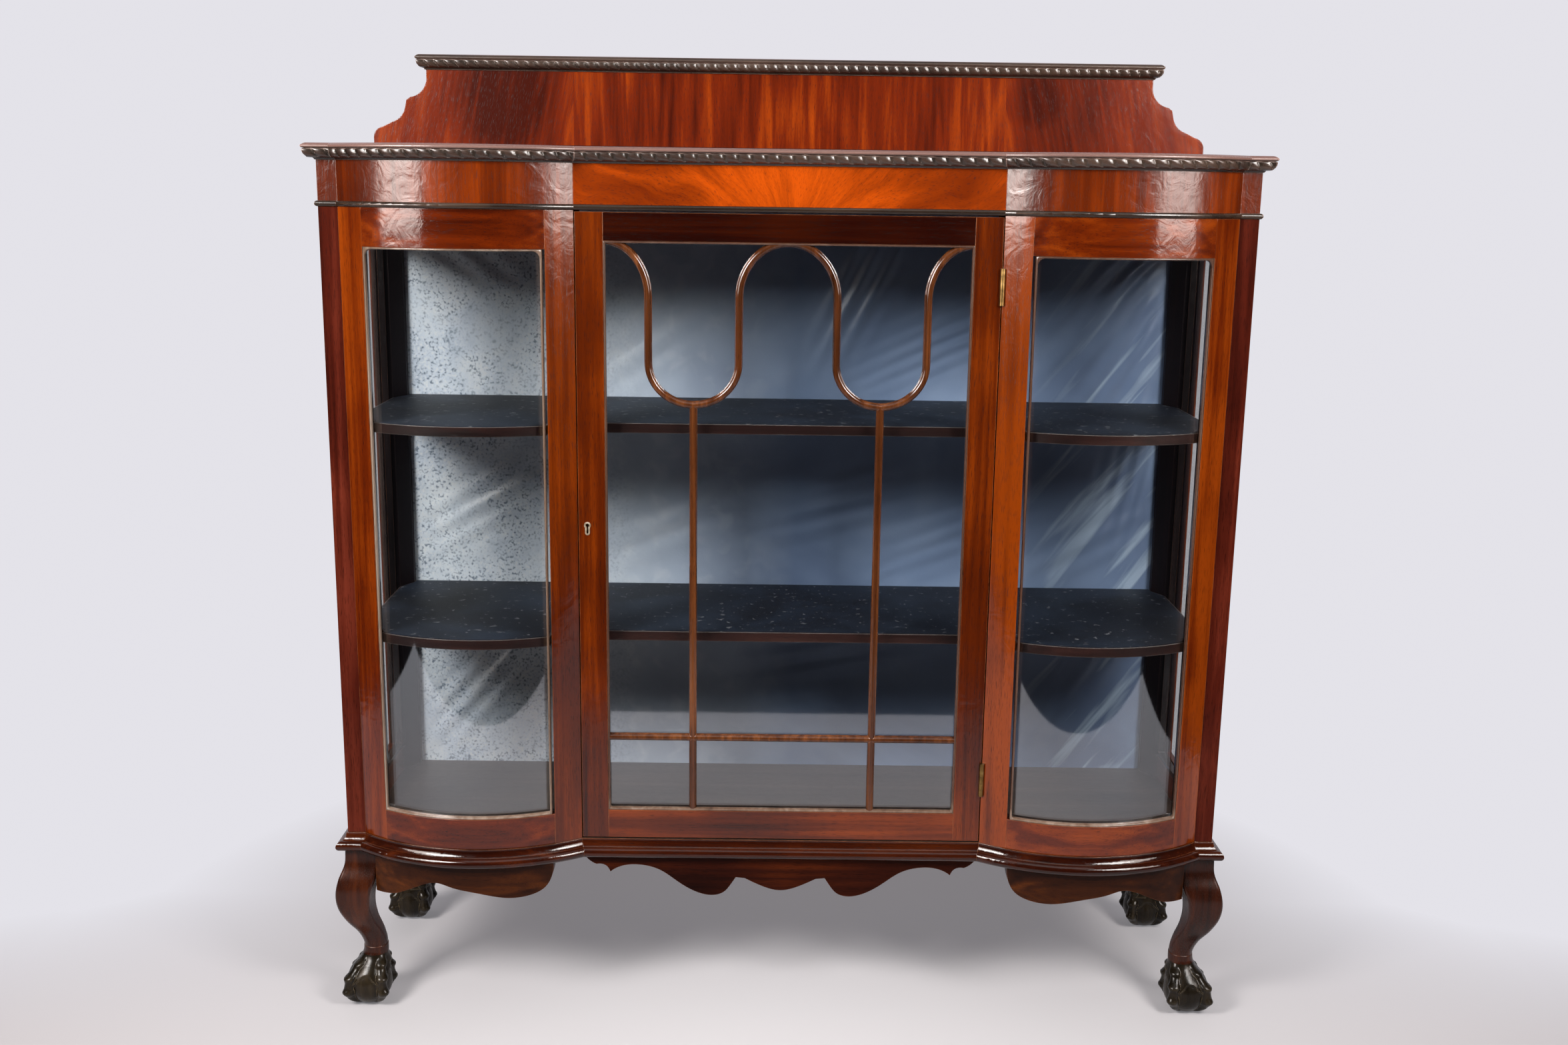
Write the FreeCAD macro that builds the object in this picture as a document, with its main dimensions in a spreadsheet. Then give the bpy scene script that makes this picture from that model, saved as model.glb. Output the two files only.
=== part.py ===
import FreeCAD, Part
import Sketcher
import math
import os
import types

# Glazed display cabinet with a flat middle door between two bow-fronted bays.
# Frame: X to the right, Y to the back, Z up, millimetres. The origin lies on the floor,
# under the middle of the whole cabinet. The front faces -Y.

# Driving sizes
SIZES = {
    # carcass over its corner posts, and its level steps from the floor up
    "carcass_width": 1300.0,
    "carcass_depth": 322.0,
    "leg_height": 257.5,
    "base_height": 26.5,
    "frame_height": 921.0,
    "frieze_height": 63.0,
    "top_thickness": 22.0,
    # front plan: the middle plane stands forward of the corner posts, the bays bow forward of both
    "opening_width": 594.0,
    "middle_step": 12.0,
    "bow_rise": 53.0,
    "moulding_overhang": 15.7,
    # posts and frame members
    "corner_post_width": 27.0,
    "corner_post_depth": 40.0,
    "door_post_width": 37.0,
    "back_post_width": 44.0,
    "back_post_depth": 64.0,
    "back_post_cheek": 32.0,
    "frame_thickness": 22.0,
    "bay_stile_width": 38.0,
    "top_rail_height": 53.0,
    "bottom_rail_height": 46.0,
    # glazing
    "glass_thickness": 3.0,
    "glass_lip": 9.0,
    "rebate_depth": 8.0,
    "glass_edge_gap": 1.0,
    # back
    "back_thickness": 8.0,
    "back_inset": 11.0,
    "lining_thickness": 1.5,
    # shelves over the cabinet's floor, and their bearers
    "upper_shelf_rise": 622.9,
    "lower_shelf_rise": 314.6,
    "shelf_thickness": 14.0,
    "shelf_front_gap": 4.0,
    "shelf_end_gap": 2.0,
    "shelf_bow_gap": 1.5,
    "shelf_corner_radius": 70.0,
    "bearer_width": 15.0,
    "bearer_height": 12.0,
    # door
    "door_side_gap": 1.5,
    "door_end_gap": 2.0,
    "door_stop_gap": 0.3,
    "door_stop_thickness": 3.0,
    "door_stop_lap": 6.0,
    "door_stop_width": 15.0,
    "door_stile_width": 38.5,
    "door_bottom_rail": 43.0,
    "door_top_rail": 39.0,
    # glazing bars on the face of the door's pane
    "bar_width": 11.0,
    "bar_depth": 8.0,
    "bar_spacing": 264.0,
    "cross_bar_rise": 113.0,
    "loop_width": 127.0,
    "loop_drop": 227.0,
    "loop_round": 60.0,
    "arch_round": 76.0,
    # hinges
    "hinge_length": 51.0,
    "hinge_top_drop": 95.0,
    "hinge_bottom_rise": 98.0,
    "hinge_barrel_radius": 3.5,
    "hinge_pin_radius": 1.5,
    "hinge_proud": 2.5,
    "hinge_leaf_thickness": 2.0,
    "hinge_leaf_width": 20.0,
    "hinge_running_gap": 0.3,
    "pin_clearance": 0.05,
    "barrel_recess_gap": 0.5,
    "screw_radius": 1.5,
    "screw_length": 14.0,
    "screw_head_radius": 3.0,
    "screw_pitch": 18.0,
    # lock, over the cabinet's floor
    "lock_rise": 473.0,
    "lock_case_width": 28.5,
    "lock_case_height": 45.0,
    "lock_case_depth": 11.0,
    "lock_bolt_height": 18.0,
    "lock_bolt_thickness": 6.0,
    "lock_bolt_length": 21.0,
    "lock_bolt_throw": 8.0,
    "lock_bolt_set_back": 1.0,
    "lock_bolt_gap": 0.3,
    "lock_mortise_gap": 1.2,
    "keyhole_radius": 2.6,
    "keyhole_slot": 2.4,
    "keyhole_drop": 11.0,
    "keyhole_inset": 12.5,
    "escutcheon_rim": 2.2,
    "escutcheon_thickness": 2.0,
    "escutcheon_proud": 0.6,
    # aprons
    "apron_thickness": 20.0,
    "apron_drop": 63.5,
    "bay_apron_drop": 52.0,
    "bay_apron_inset": 41.0,
    "side_apron_drop": 34.0,
    # legs: a square knee that narrows to a round ankle, on a ball held by claws
    "leg_block": 47.0,
    "knee_reach": 19.5,
    "ankle_inset": 10.5,
    "foot_inset": 18.0,
    "ball_radius": 34.0,
    "ball_flat": 2.0,
    "claw_reach": 45.0,
    "claw_radius": 9.0,
    "ankle_height": 80.0,
    # base moulding: a half round nosing under a cove
    "nosing_radius": 7.5,
    "cove_step": 1.2,
    "cove_top": 2.0,
    "cove_radius": 14.0,
    # carved top edge
    "edge_depth": 24.0,
    "edge_return": 13.0,
    "edge_tip_height": 10.0,
    "edge_round": 24.0,
    "edge_hollow": 20.0,
    # bead under the frieze
    "bead_radius": 4.0,
    # gallery along the back of the top; the rake is how far its stepped ends draw in
    "gallery_thickness": 25.0,
    "gallery_height": 119.0,
    "gallery_inset": 8.0,
    "gallery_back_gap": 10.0,
    "gallery_rake": 84.0,
    "gallery_fillet": 9.0,
    "cornice_height": 22.0,
    "cornice_overhang": 13.5,
    "cornice_depth": 19.0,
    "cornice_tip_height": 12.0,
    "cornice_round": 19.0,
    # how far a cut runs past the face that it opens
    "overrun": 5.0,
}

# Lower edge of the middle apron, from its middle to its end: share of the half width and
# share of the drop. A pair that is marked sharp ends one curve and starts the next.
apron_edge_shares = (
    (0.0, 0.86, False), (0.09, 0.76, False), (0.18, 0.56, True), (0.225, 0.54, True),
    (0.25, 0.72, False), (0.29, 0.93, False), (0.347, 1.0, False), (0.42, 0.93, False),
    (0.52, 0.66, False), (0.61, 0.37, False), (0.70, 0.25, False), (0.80, 0.28, False),
    (0.86, 0.43, True), (0.88, 0.28, False), (0.93, 0.24, True), (0.965, 0.14, False),
    (0.99, 0.0, True),
)

# Lower edge of a bay apron, from its inner end to the bracket at the leg: share of its width
# and of its drop.
bay_apron_edge_shares = (
    (0.0, 0.0, True), (0.004, 0.43, False), (0.042, 0.78, False), (0.111, 0.95, False),
    (0.181, 1.0, False), (0.247, 0.99, False), (0.338, 0.90, False), (0.438, 0.79, False),
    (0.543, 0.68, False), (0.633, 0.57, False), (0.703, 0.66, False), (0.772, 0.84, False),
    (0.825, 0.98, False), (0.877, 1.10, False), (0.94, 1.17, False), (1.0, 1.19, True),
)

# Side apron between two legs: share of its length and of its drop, half of it, the middle first.
side_apron_edge_shares = (
    (0.0, 0.62, False), (0.35, 0.55, False), (0.68, 0.42, False), (0.90, 0.62, False),
    (1.0, 1.0, True),
)

# Stepped end of the gallery: share of the run from the top width to the foot width, share of
# the height, and the radius share of the arc that leads on from there (minus is hollow).
gallery_end_shares = (
    (1.0, 0.0, 0.0), (1.0, 0.15, 0.20), (0.83, 0.28, 0.0), (0.64, 0.345, -0.34),
    (0.405, 0.54, 0.0), (0.38, 0.62, 0.0), (0.31, 0.655, -0.36), (0.0, 0.88, 0.0),
    (0.0, 1.0, 0.0),
)

# Leg sections from the base down: share of the shank between the ankle and the base, share of
# the way of the outer face from the carcass face (0) out to the knee (1), width share of the
# block, and the corner radius share of the width.
knee_section_shares = (
    (1.0, 0.25, 1.0, 0.06), (0.862, 0.35, 1.06, 0.07), (0.732, 0.8, 1.18, 0.09),
    (0.623, 1.0, 1.12, 0.12), (0.478, 0.9, 1.02, 0.16), (0.34, 0.45, 0.90, 0.24),
)

# Ankle sections: share of the shank over the ankle, share of the ankle inset, width share of
# the block, corner radius share. The last one stands in the ball, at a share of its height.
ankle_section_shares = (
    (0.198, 0.4, 0.78, 0.36), (0.086, 0.95, 0.74, 0.44), (0.0, 1.0, 0.73, 0.48),
)
root_section_shares = (0.909, 0.85, 0.86, 0.48)

# One claw from the ankle to its tip: share of the reach, share of the ball's height above the
# floor, and radius share.
claw_shares = (
    (0.30, 1.14, 0.90), (0.58, 1.02, 1.05), (0.85, 0.80, 1.0), (0.96, 0.54, 0.92),
    (0.90, 0.28, 0.78), (0.70, 0.09, 0.45),
)
claw_count = 4

knuckle_count = 5
screws_per_leaf = 3


class Size:
    """A length: its value in millimetres and its formula in the names of the sheet."""

    def __init__(self, value, formula):
        self.value = float(value)
        self.formula = formula

    def join(self, other, sign, value):
        return Size(value, "(%s %s %s)" % (self.formula, sign, formula_of(other)))

    def __add__(self, other):
        return self.join(other, "+", self.value + value_of(other))

    def __sub__(self, other):
        return self.join(other, "-", self.value - value_of(other))

    def __mul__(self, other):
        return self.join(other, "*", self.value * value_of(other))

    def __truediv__(self, other):
        return self.join(other, "/", self.value / value_of(other))

    def __neg__(self):
        return Size(-self.value, "(0 - %s)" % self.formula)

    __radd__ = __add__
    __rmul__ = __mul__


def value_of(size):
    return size.value if isinstance(size, Size) else float(size)


def formula_of(size):
    return size.formula if isinstance(size, Size) else repr(size)


def root(size):
    return Size(math.sqrt(size.value), "sqrt(%s)" % size.formula)


doc = FreeCAD.newDocument("display_cabinet")
sheet = doc.addObject("Spreadsheet::Sheet", "Sizes")
s = types.SimpleNamespace()
for row, (alias, millimetres) in enumerate(SIZES.items(), start=1):
    sheet.set("A%d" % row, alias)
    sheet.set("B%d" % row, str(millimetres))
    sheet.setAlias("B%d" % row, alias)
doc.recompute()
for alias in SIZES:
    setattr(s, alias, Size(sheet.get(alias), "Sizes." + alias))

# Places that several pieces share are worked out once, from the sheet.
derived = doc.addObject("App::VarSet", "Derived")


def derive(name, size):
    """Keeps a worked-out length in the document and returns it as a size."""
    derived.addProperty("App::PropertyFloat", name)
    derived.setExpression(name, size.formula)
    return Size(size.value, "Derived." + name)


def bind(piece, name, size):
    """Sets a property of a piece and ties it to the sheet."""
    piece.setExpression(name, formula_of(size))


def span(side, low, high):
    """A pair of X places on the right side, or its mirror image on the left."""
    return (low, high) if side > 0 else (-high, -low)


def block(name, x, y, z):
    """A squared timber between pairs of X, Y and Z places."""
    piece = doc.addObject("Part::Box", name)
    for length, place, pair in (("Length", "x", x), ("Width", "y", y), ("Height", "z", z)):
        bind(piece, length, pair[1] - pair[0])
        bind(piece, "Placement.Base." + place, pair[0])
    return piece


def rod(name, axis, x, y, z, radius):
    """A round bar along one axis; the place along that axis is a pair."""
    piece = doc.addObject("Part::Cylinder", name)
    along = {"x": x, "y": y, "z": z}[axis]
    start = {"x": x, "y": y, "z": z, axis: along[0]}
    turn = {"x": (0, 1, 0, 90), "y": (1, 0, 0, -90), "z": (0, 0, 1, 0)}[axis]
    piece.Placement.Rotation = FreeCAD.Rotation(FreeCAD.Vector(*turn[:3]), turn[3])
    bind(piece, "Radius", radius)
    bind(piece, "Height", along[1] - along[0])
    for place in "xyz":
        bind(piece, "Placement.Base." + place, start[place])
    return piece


def cut(name, base, *tools):
    """The base with each tool taken away from it."""
    for index, tool in enumerate(tools):
        piece = doc.addObject("Part::Cut", "%s_cut_%d" % (name, index))
        piece.Base = base
        piece.Tool = tool
        base = piece
    return base


def common(name, base, tool):
    piece = doc.addObject("Part::Common", name + "_common")
    piece.Base = base
    piece.Tool = tool
    return piece


def fuse(name, *pieces):
    piece = doc.addObject("Part::MultiFuse", name + "_fuse")
    piece.Shapes = list(pieces)
    return piece


def group(name, *pieces):
    """Separate solids that share one node."""
    piece = doc.addObject("Part::Compound", name + "_group")
    piece.Links = list(pieces)
    return piece


nodes = []


def node(label, piece):
    """Names a finished piece; the name is also that of its file."""
    piece.Label = label
    nodes.append(piece)
    return piece


def corner_of(corner):
    """The place of an outline's corner and the radius of the arc that follows it."""
    return corner[0], corner[1], (corner[2] if len(corner) > 2 else 0)


def add_outline(sketch, corners):
    """Draws a closed outline of lines and arcs, each corner tied to the sheet.

    A corner is x, y and, where an arc leads on from it, the arc's radius: above nought the
    arc turns to the left, below nought to the right.
    """
    ends = []
    count = len(corners)
    for index in range(count):
        x, y, radius = corner_of(corners[index])
        next_x, next_y, _ = corner_of(corners[(index + 1) % count])
        start = FreeCAD.Vector(value_of(x), value_of(y), 0)
        end = FreeCAD.Vector(value_of(next_x), value_of(next_y), 0)
        bend = value_of(radius)
        if not bend:
            sketch.addGeometry(Part.LineSegment(start, end), False)
            ends.append((1, 2))
            continue
        chord = end - start
        rise = math.sqrt(bend * bend - chord.Length * chord.Length / 4)
        left = FreeCAD.Vector(-chord.y, chord.x, 0).normalize()
        middle = (start + end) / 2 + left * math.copysign(rise, bend)
        first, last = (start, end) if bend > 0 else (end, start)
        circle = Part.Circle(middle, FreeCAD.Vector(0, 0, 1), abs(bend))
        angles = [math.atan2(p.y - middle.y, p.x - middle.x) for p in (first, last)]
        sketch.addGeometry(Part.ArcOfCircle(circle, angles[0], angles[1]), False)
        ends.append((1, 2) if bend > 0 else (2, 1))
    for index in range(count):
        following = (index + 1) % count
        sketch.addConstraint(Sketcher.Constraint(
            "Coincident", index, ends[index][1], following, ends[following][0]))
        x, y, radius = corner_of(corners[index])
        for kind, place in (("DistanceX", x), ("DistanceY", y)):
            number = sketch.addConstraint(Sketcher.Constraint(
                kind, -1, 1, index, ends[index][0], value_of(place)))
            if isinstance(place, Size):
                sketch.setExpression("Constraints[%d]" % number, place.formula)
        if value_of(radius):
            size = radius if radius.value > 0 else -radius
            number = sketch.addConstraint(Sketcher.Constraint("Radius", index, size.value))
            sketch.setExpression("Constraints[%d]" % number, size.formula)


def body_with_sketch(name, plane, corners):
    body = doc.addObject("PartDesign::Body", name)
    sketch = body.newObject("Sketcher::SketchObject", name + "_outline")
    support = [item for item in body.Origin.OriginFeatures if item.Role == plane][0]
    sketch.AttachmentSupport = [(support, "")]
    sketch.MapMode = "FlatFace"
    add_outline(sketch, corners)
    return body, sketch


def board(name, plane, corners, start, end):
    """An outline on one of the main planes, given a thickness from start to end."""
    body, sketch = body_with_sketch(name, plane, corners)
    pad = body.newObject("PartDesign::Pad", name + "_thickness")
    pad.Profile = sketch
    pad.Reversed = plane == "XZ_Plane"
    bind(pad, "Length", end - start)
    body.Tip = pad
    place = {"XY_Plane": "z", "XZ_Plane": "y", "YZ_Plane": "x"}[plane]
    bind(body, "Placement.Base." + place, start)
    return body


def turned(name, corners, x, y):
    """An outline of radius and height, turned about an upright axis."""
    body, sketch = body_with_sketch(name, "XZ_Plane", corners)
    turn = body.newObject("PartDesign::Revolution", name + "_turn")
    turn.Profile = sketch
    turn.ReferenceAxis = (sketch, ["V_Axis"])
    turn.Angle = 360
    body.Tip = turn
    bind(body, "Placement.Base.x", x)
    bind(body, "Placement.Base.y", y)
    return body


def mirrored(corners):
    """The same outline with its X places on the other side."""
    flipped = []
    for corner in corners:
        x, y, radius = corner_of(corner)
        flipped.append((-x, y, -radius) if value_of(radius) else (-x, y))
    return flipped


def on_side(side, corners):
    return corners if side > 0 else mirrored(corners)


def left_half(corners):
    """The left half of an outline whose right half is drawn first: each arc goes on turning."""
    flipped = []
    for index in reversed(range(len(corners))):
        x, y, _ = corner_of(corners[index])
        radius = corner_of(corners[index - 1])[2] if index else 0
        flipped.append((-x, y, radius) if value_of(radius) else (-x, y))
    return flipped


# Plan of the front: the bow is an arc from the door post's corner to the corner post, so its
# radius and its centre follow from the width that is left for a bay and the rise of the bow.
half_width = derive("half_width", s.carcass_width / 2)
half_opening = derive("half_opening", s.opening_width / 2)
bay_outer = derive("bay_outer", half_width - s.corner_post_width)
bay_run = bay_outer - half_opening
bay_chord = derive("bay_chord", root(bay_run * bay_run + s.middle_step * s.middle_step))
bow_radius = derive("bow_radius", (bay_chord * bay_chord / 4 + s.bow_rise * s.bow_rise) / (s.bow_rise * 2))
bow_back = derive("bow_back", bow_radius - s.bow_rise)
bow_x = derive("bow_x", (half_opening + bay_outer) / 2 - bow_back * s.middle_step / bay_chord)
bow_behind = derive("bow_behind", bow_back * bay_run / bay_chord - s.middle_step / 2)

# The whole cabinet reaches from the crown of the mouldings to the claws of the back feet, and
# the origin lies half-way. face is the front of the corner posts.
_, _, widest_share = max(claw_shares)
claw_out = s.claw_reach * max(claw_shares)[0] * math.sin(math.radians(180 / claw_count))
foot_reach = derive("foot_reach", claw_out + s.claw_radius * widest_share - s.foot_inset)
crown = derive("crown", bow_radius - bow_behind + s.moulding_overhang)
face = derive("face", (crown - s.carcass_depth - foot_reach) / 2)
back = derive("back", face + s.carcass_depth)
middle_face = derive("middle_face", face - s.middle_step)
bow_y = derive("bow_y", face + bow_behind)

# Levels from the floor up.
floor_level = derive("floor_level", s.leg_height + s.base_height)
frieze_level = derive("frieze_level", floor_level + s.frame_height)
under_top = derive("under_top", frieze_level + s.frieze_height)
top_level = derive("top_level", under_top + s.top_thickness)


def bow_front(radius, x):
    """Y place where a circle about the bow's centre crosses an X place, at the front."""
    return bow_y - root(radius * radius - (x - bow_x) * (x - bow_x))


def bow_side(radius, y, side):
    """X place where a circle about the bow's centre crosses a Y place."""
    run = root(radius * radius - (bow_y - y) * (bow_y - y))
    return bow_x + run if side > 0 else bow_x - run


def ring(name, side, inner, outer, x, z):
    """A bowed strip between two radii, cut off between two X places."""
    height = (z[0] - s.overrun, z[1] + s.overrun)
    centre_x = bow_x if side > 0 else -bow_x
    drum = rod(name + "_drum", "z", centre_x, bow_y, height, outer)
    core = rod(name + "_core", "z", centre_x, bow_y, height, inner)
    stock = block(name + "_stock", span(side, *x), (bow_y - bow_radius * 2, bow_y), z)
    return common(name, stock, cut(name + "_shell", drum, core))


def plan(grow):
    """Outline of the carcass from above, its front and sides moved out by a named distance."""
    radius = bow_radius + grow
    inner_y = middle_face - grow
    outer_y = face - grow
    side_x = half_width + grow
    outer_x = bow_side(radius, outer_y, 1)
    inner_x = bow_side(radius, inner_y, -1)
    return [(side_x, back), (side_x, outer_y), (outer_x, outer_y, -radius), (inner_x, inner_y),
            (-inner_x, inner_y, -radius), (-outer_x, outer_y), (-side_x, outer_y), (-side_x, back)]


# Legs

def rounded_square(x, y, z, width, radius):
    """One level section of a leg as a wire of four lines and four arcs."""
    half = width / 2
    run = half - radius
    wire = []
    for turn in range(4):
        angle = math.radians(90 * turn)
        ahead = FreeCAD.Vector(math.cos(angle), math.sin(angle), 0)
        left = FreeCAD.Vector(-ahead.y, ahead.x, 0)
        centre = FreeCAD.Vector(x, y, z)
        start = centre + ahead * half - left * run
        end = centre + ahead * half + left * run
        bend = centre + (ahead + left) * (run + radius * math.sqrt(0.5))
        leave = centre + left * half + ahead * run
        wire.append(Part.LineSegment(start, end).toShape())
        wire.append(Part.Arc(end, bend, leave).toShape())
    return Part.Wire(wire)


def claw_foot(x, y):
    """The ball, flat where it stands, and the claws that hold it."""
    ball_top = s.ball_radius.value * 2 - s.ball_flat.value
    centre = FreeCAD.Vector(x, y, s.ball_radius.value - s.ball_flat.value)
    pieces = [Part.makeSphere(s.ball_radius.value, centre)]
    for turn in range(claw_count):
        angle = math.radians(45 + turn * 360 / claw_count)
        out = FreeCAD.Vector(math.cos(angle), math.sin(angle), 0)
        places = [FreeCAD.Vector(x, y, 0) + out * (share * s.claw_reach.value)
                  + FreeCAD.Vector(0, 0, rise * ball_top) for share, rise, _ in claw_shares]
        rounds = []
        for index, place in enumerate(places):
            before = places[max(index - 1, 0)]
            after = places[min(index + 1, len(places) - 1)]
            radius = claw_shares[index][2] * s.claw_radius.value
            rounds.append(Part.Wire(Part.makeCircle(radius, place, after - before)))
        pieces.append(Part.makeLoft(rounds, True, False))
    return pieces


def leg_shape():
    """The front right leg: knee and ankle lofted, with the foot joined on and cut flat."""
    corner_x = half_width.value
    corner_y = face.value
    ankle = s.ankle_height.value
    shank = s.leg_height.value - ankle
    ball_top = s.ball_radius.value * 2 - s.ball_flat.value
    levels = [(ankle + level * shank, way * s.knee_reach.value, width, radius)
              for level, way, width, radius in knee_section_shares]
    levels += [(ankle + level * shank, -way * s.ankle_inset.value, width, radius)
               for level, way, width, radius in ankle_section_shares]
    level, way, width, radius = root_section_shares
    levels.append((level * ball_top, -way * s.ankle_inset.value, width, radius))
    sections = []
    for level, outward, width, radius in levels:
        wide = width * s.leg_block.value
        inward = outward - wide / 2
        sections.append(rounded_square(corner_x + inward, corner_y - inward, level, wide,
                                       radius * wide))
    foot = claw_foot(corner_x - s.foot_inset.value, corner_y + s.foot_inset.value)
    joined = Part.makeLoft(sections, True, False).multiFuse(foot)
    below = Part.makeBox(s.leg_block.value * 4, s.leg_block.value * 4, s.leg_height.value,
                         FreeCAD.Vector(corner_x - s.leg_block.value * 2,
                                        corner_y - s.leg_block.value * 2, -s.leg_height.value))
    return joined.cut(below).removeSplitter()


def mirror_of(name, source, normal, x, y):
    piece = doc.addObject("Part::Mirroring", name + "_mirror")
    piece.Source = source
    piece.Normal = normal
    bind(piece, "Base.x", x)
    bind(piece, "Base.y", y)
    return piece


leg = doc.addObject("Part::Feature", "leg_front_right_shape")
leg.Shape = leg_shape()
leg.Placement = FreeCAD.Placement()
across = FreeCAD.Vector(1, 0, 0)
along = FreeCAD.Vector(0, 1, 0)
middle_depth = face + s.carcass_depth / 2
node("leg_front_right", leg)
node("leg_front_left", mirror_of("leg_front_left", leg, across, 0, 0))
back_leg = node("leg_back_right", mirror_of("leg_back_right", leg, along, 0, middle_depth))
back_leg_left = node("leg_back_left", mirror_of("leg_back_left", back_leg, across, 0, 0))

# Aprons


def shaped_face(points, y):
    """A face in the XZ plane from points marked sharp or smooth; smooth runs are splines."""
    places = [FreeCAD.Vector(x, y, z) for x, z, _ in points]
    edges = []
    run = [places[0]]
    for place, sharp in zip(places[1:], [point[2] for point in points][1:]):
        run.append(place)
        if sharp:
            if len(run) == 2:
                edges.append(Part.LineSegment(run[0], run[1]).toShape())
            else:
                curve = Part.BSplineCurve()
                curve.interpolate(run)
                edges.append(curve.toShape())
            run = [place]
    edges.append(Part.LineSegment(places[-1], places[0]).toShape())
    return Part.Face(Part.Wire(edges))


def apron_middle_shape():
    """The middle apron: a board whose lower edge is sawn to lobes and cusps."""
    wide = half_opening.value
    top = s.leg_height.value
    right = [(x * wide, top - z * s.apron_drop.value, sharp) for x, z, sharp in apron_edge_shares]
    left = [(-x, z, sharp) for x, z, sharp in reversed(right[1:])]
    points = [(-wide * apron_edge_shares[-1][0], top, True)] + left[1:] + right
    face_of_board = shaped_face(points, middle_face.value)
    return face_of_board.extrude(FreeCAD.Vector(0, s.apron_thickness.value, 0))


def bay_apron_shape():
    """The right bay's apron before it is bowed: its lower edge sawn through a deep block."""
    start = half_opening.value + s.bay_apron_inset.value
    wide = half_width.value + knee_inner.value - start
    top = s.leg_height.value
    points = [(start + x * wide, top - z * s.bay_apron_drop.value, sharp)
              for x, z, sharp in bay_apron_edge_shares]
    points.append((start + wide, top, True))
    stock = shaped_face(points, bow_y.value - bow_radius.value * 2)
    return stock.extrude(FreeCAD.Vector(0, bow_radius.value * 2, 0))


# The knee's inner face at the top, measured from the carcass side.
knee_inner = derive("knee_inner", s.knee_reach * knee_section_shares[0][1] - s.leg_block)
apron_middle = doc.addObject("Part::Feature", "apron_centre_shape")
apron_middle.Shape = apron_middle_shape()
node("apron_centre", apron_middle)

bay_apron_stock = doc.addObject("Part::Feature", "bay_apron_stock")
bay_apron_stock.Shape = bay_apron_shape()
bay_apron_shell = ring("bay_apron_shell", 1, bow_radius - s.apron_thickness, bow_radius,
                       (half_opening, half_width), (s.leg_height - s.apron_drop * 2, s.leg_height))
bay_apron = common("bay_apron", bay_apron_shell, bay_apron_stock)
bay_apron = node("apron_bay_right", cut("apron_bay_right", bay_apron, leg))
node("apron_bay_left", mirror_of("apron_bay_left", bay_apron, across, 0, 0))


def side_apron_shape():
    """The right side's apron between the two legs."""
    half = (s.carcass_depth.value / 2) + knee_inner.value
    middle = face.value + s.carcass_depth.value / 2
    top = s.leg_height.value
    drop = s.side_apron_drop.value
    front = [(middle + y * half, top - z * drop, sharp) for y, z, sharp in side_apron_edge_shares]
    rear = [(middle * 2 - y, z, sharp) for y, z, sharp in reversed(front[1:])]
    points = [(middle - half, top, True)] + rear + front + [(middle + half, top, True)]
    board_face = shaped_face([(y, z, sharp) for y, z, sharp in points], 0)
    board_face.rotate(FreeCAD.Vector(0, 0, 0), FreeCAD.Vector(0, 0, 1), 90)
    board_face.translate(FreeCAD.Vector(half_width.value - s.apron_thickness.value, 0, 0))
    return board_face.extrude(FreeCAD.Vector(s.apron_thickness.value, 0, 0))


side_apron = doc.addObject("Part::Feature", "side_apron_shape")
side_apron.Shape = side_apron_shape()
side_apron = cut("side_apron", side_apron, leg, back_leg)
side_apron_left = mirror_of("side_apron_left", side_apron, across, 0, 0)
node("apron_sides", group("apron_sides", side_apron, side_apron_left))
back_rail_end = half_width + knee_inner
back_rail = block("apron_back_rail", (-back_rail_end, back_rail_end), (back - s.apron_thickness, back),
                  (s.leg_height - s.side_apron_drop, s.leg_height))
node("apron_back", cut("apron_back", back_rail, back_leg, back_leg_left))

# Base board, and the mouldings that run round the front and the sides

nought = s.overrun * 0
node("base_board", board("base_board", "XY_Plane", plan(nought), s.leg_height, floor_level))

# Where two runs of moulding meet, both are cut off on one upright plane. Its direction in plan
# halves the angle between the two faces: x per unit forward at the door post and at the bow's end.
post_lean = derive("post_lean", (half_opening - bow_x) / (bow_radius + bow_y - middle_face))
bow_lean = derive("bow_lean", (bay_outer - bow_x) / (bow_radius + bow_y - face))
reach = s.moulding_overhang * 2
post_out = (half_opening + post_lean * reach, middle_face - reach)
post_in = (half_opening - post_lean * reach, middle_face + reach)
bow_out = (bay_outer + bow_lean * reach, face - reach)
bow_in = (bay_outer - bow_lean * reach, face + reach)
corner_out = (half_width + reach, face - reach)
corner_in = (half_width - reach, face + reach)
rear_out = (half_width + reach, back)
rear_in = (half_width - reach, back)
plan_height = (nought, top_level + s.gallery_height)


def flipped(point):
    return (-point[0], point[1])


run_middle = board("run_middle", "XY_Plane",
                   [flipped(post_out), post_out, post_in, flipped(post_in)], *plan_height)
bay_corners = [post_out, (bow_x, bow_y - bow_radius * 2), bow_out, bow_in, post_in]
corner_corners = [bow_out, corner_out, corner_in, bow_in]
side_corners = [corner_out, rear_out, rear_in, corner_in]
runs = {}
for side, word in ((1, "right"), (-1, "left")):
    for place, corners in (("bay", bay_corners), ("corner", corner_corners), ("side", side_corners)):
        runs[place, side] = board("run_%s_%s" % (place, word), "XY_Plane",
                                  on_side(side, corners), *plan_height)


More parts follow.
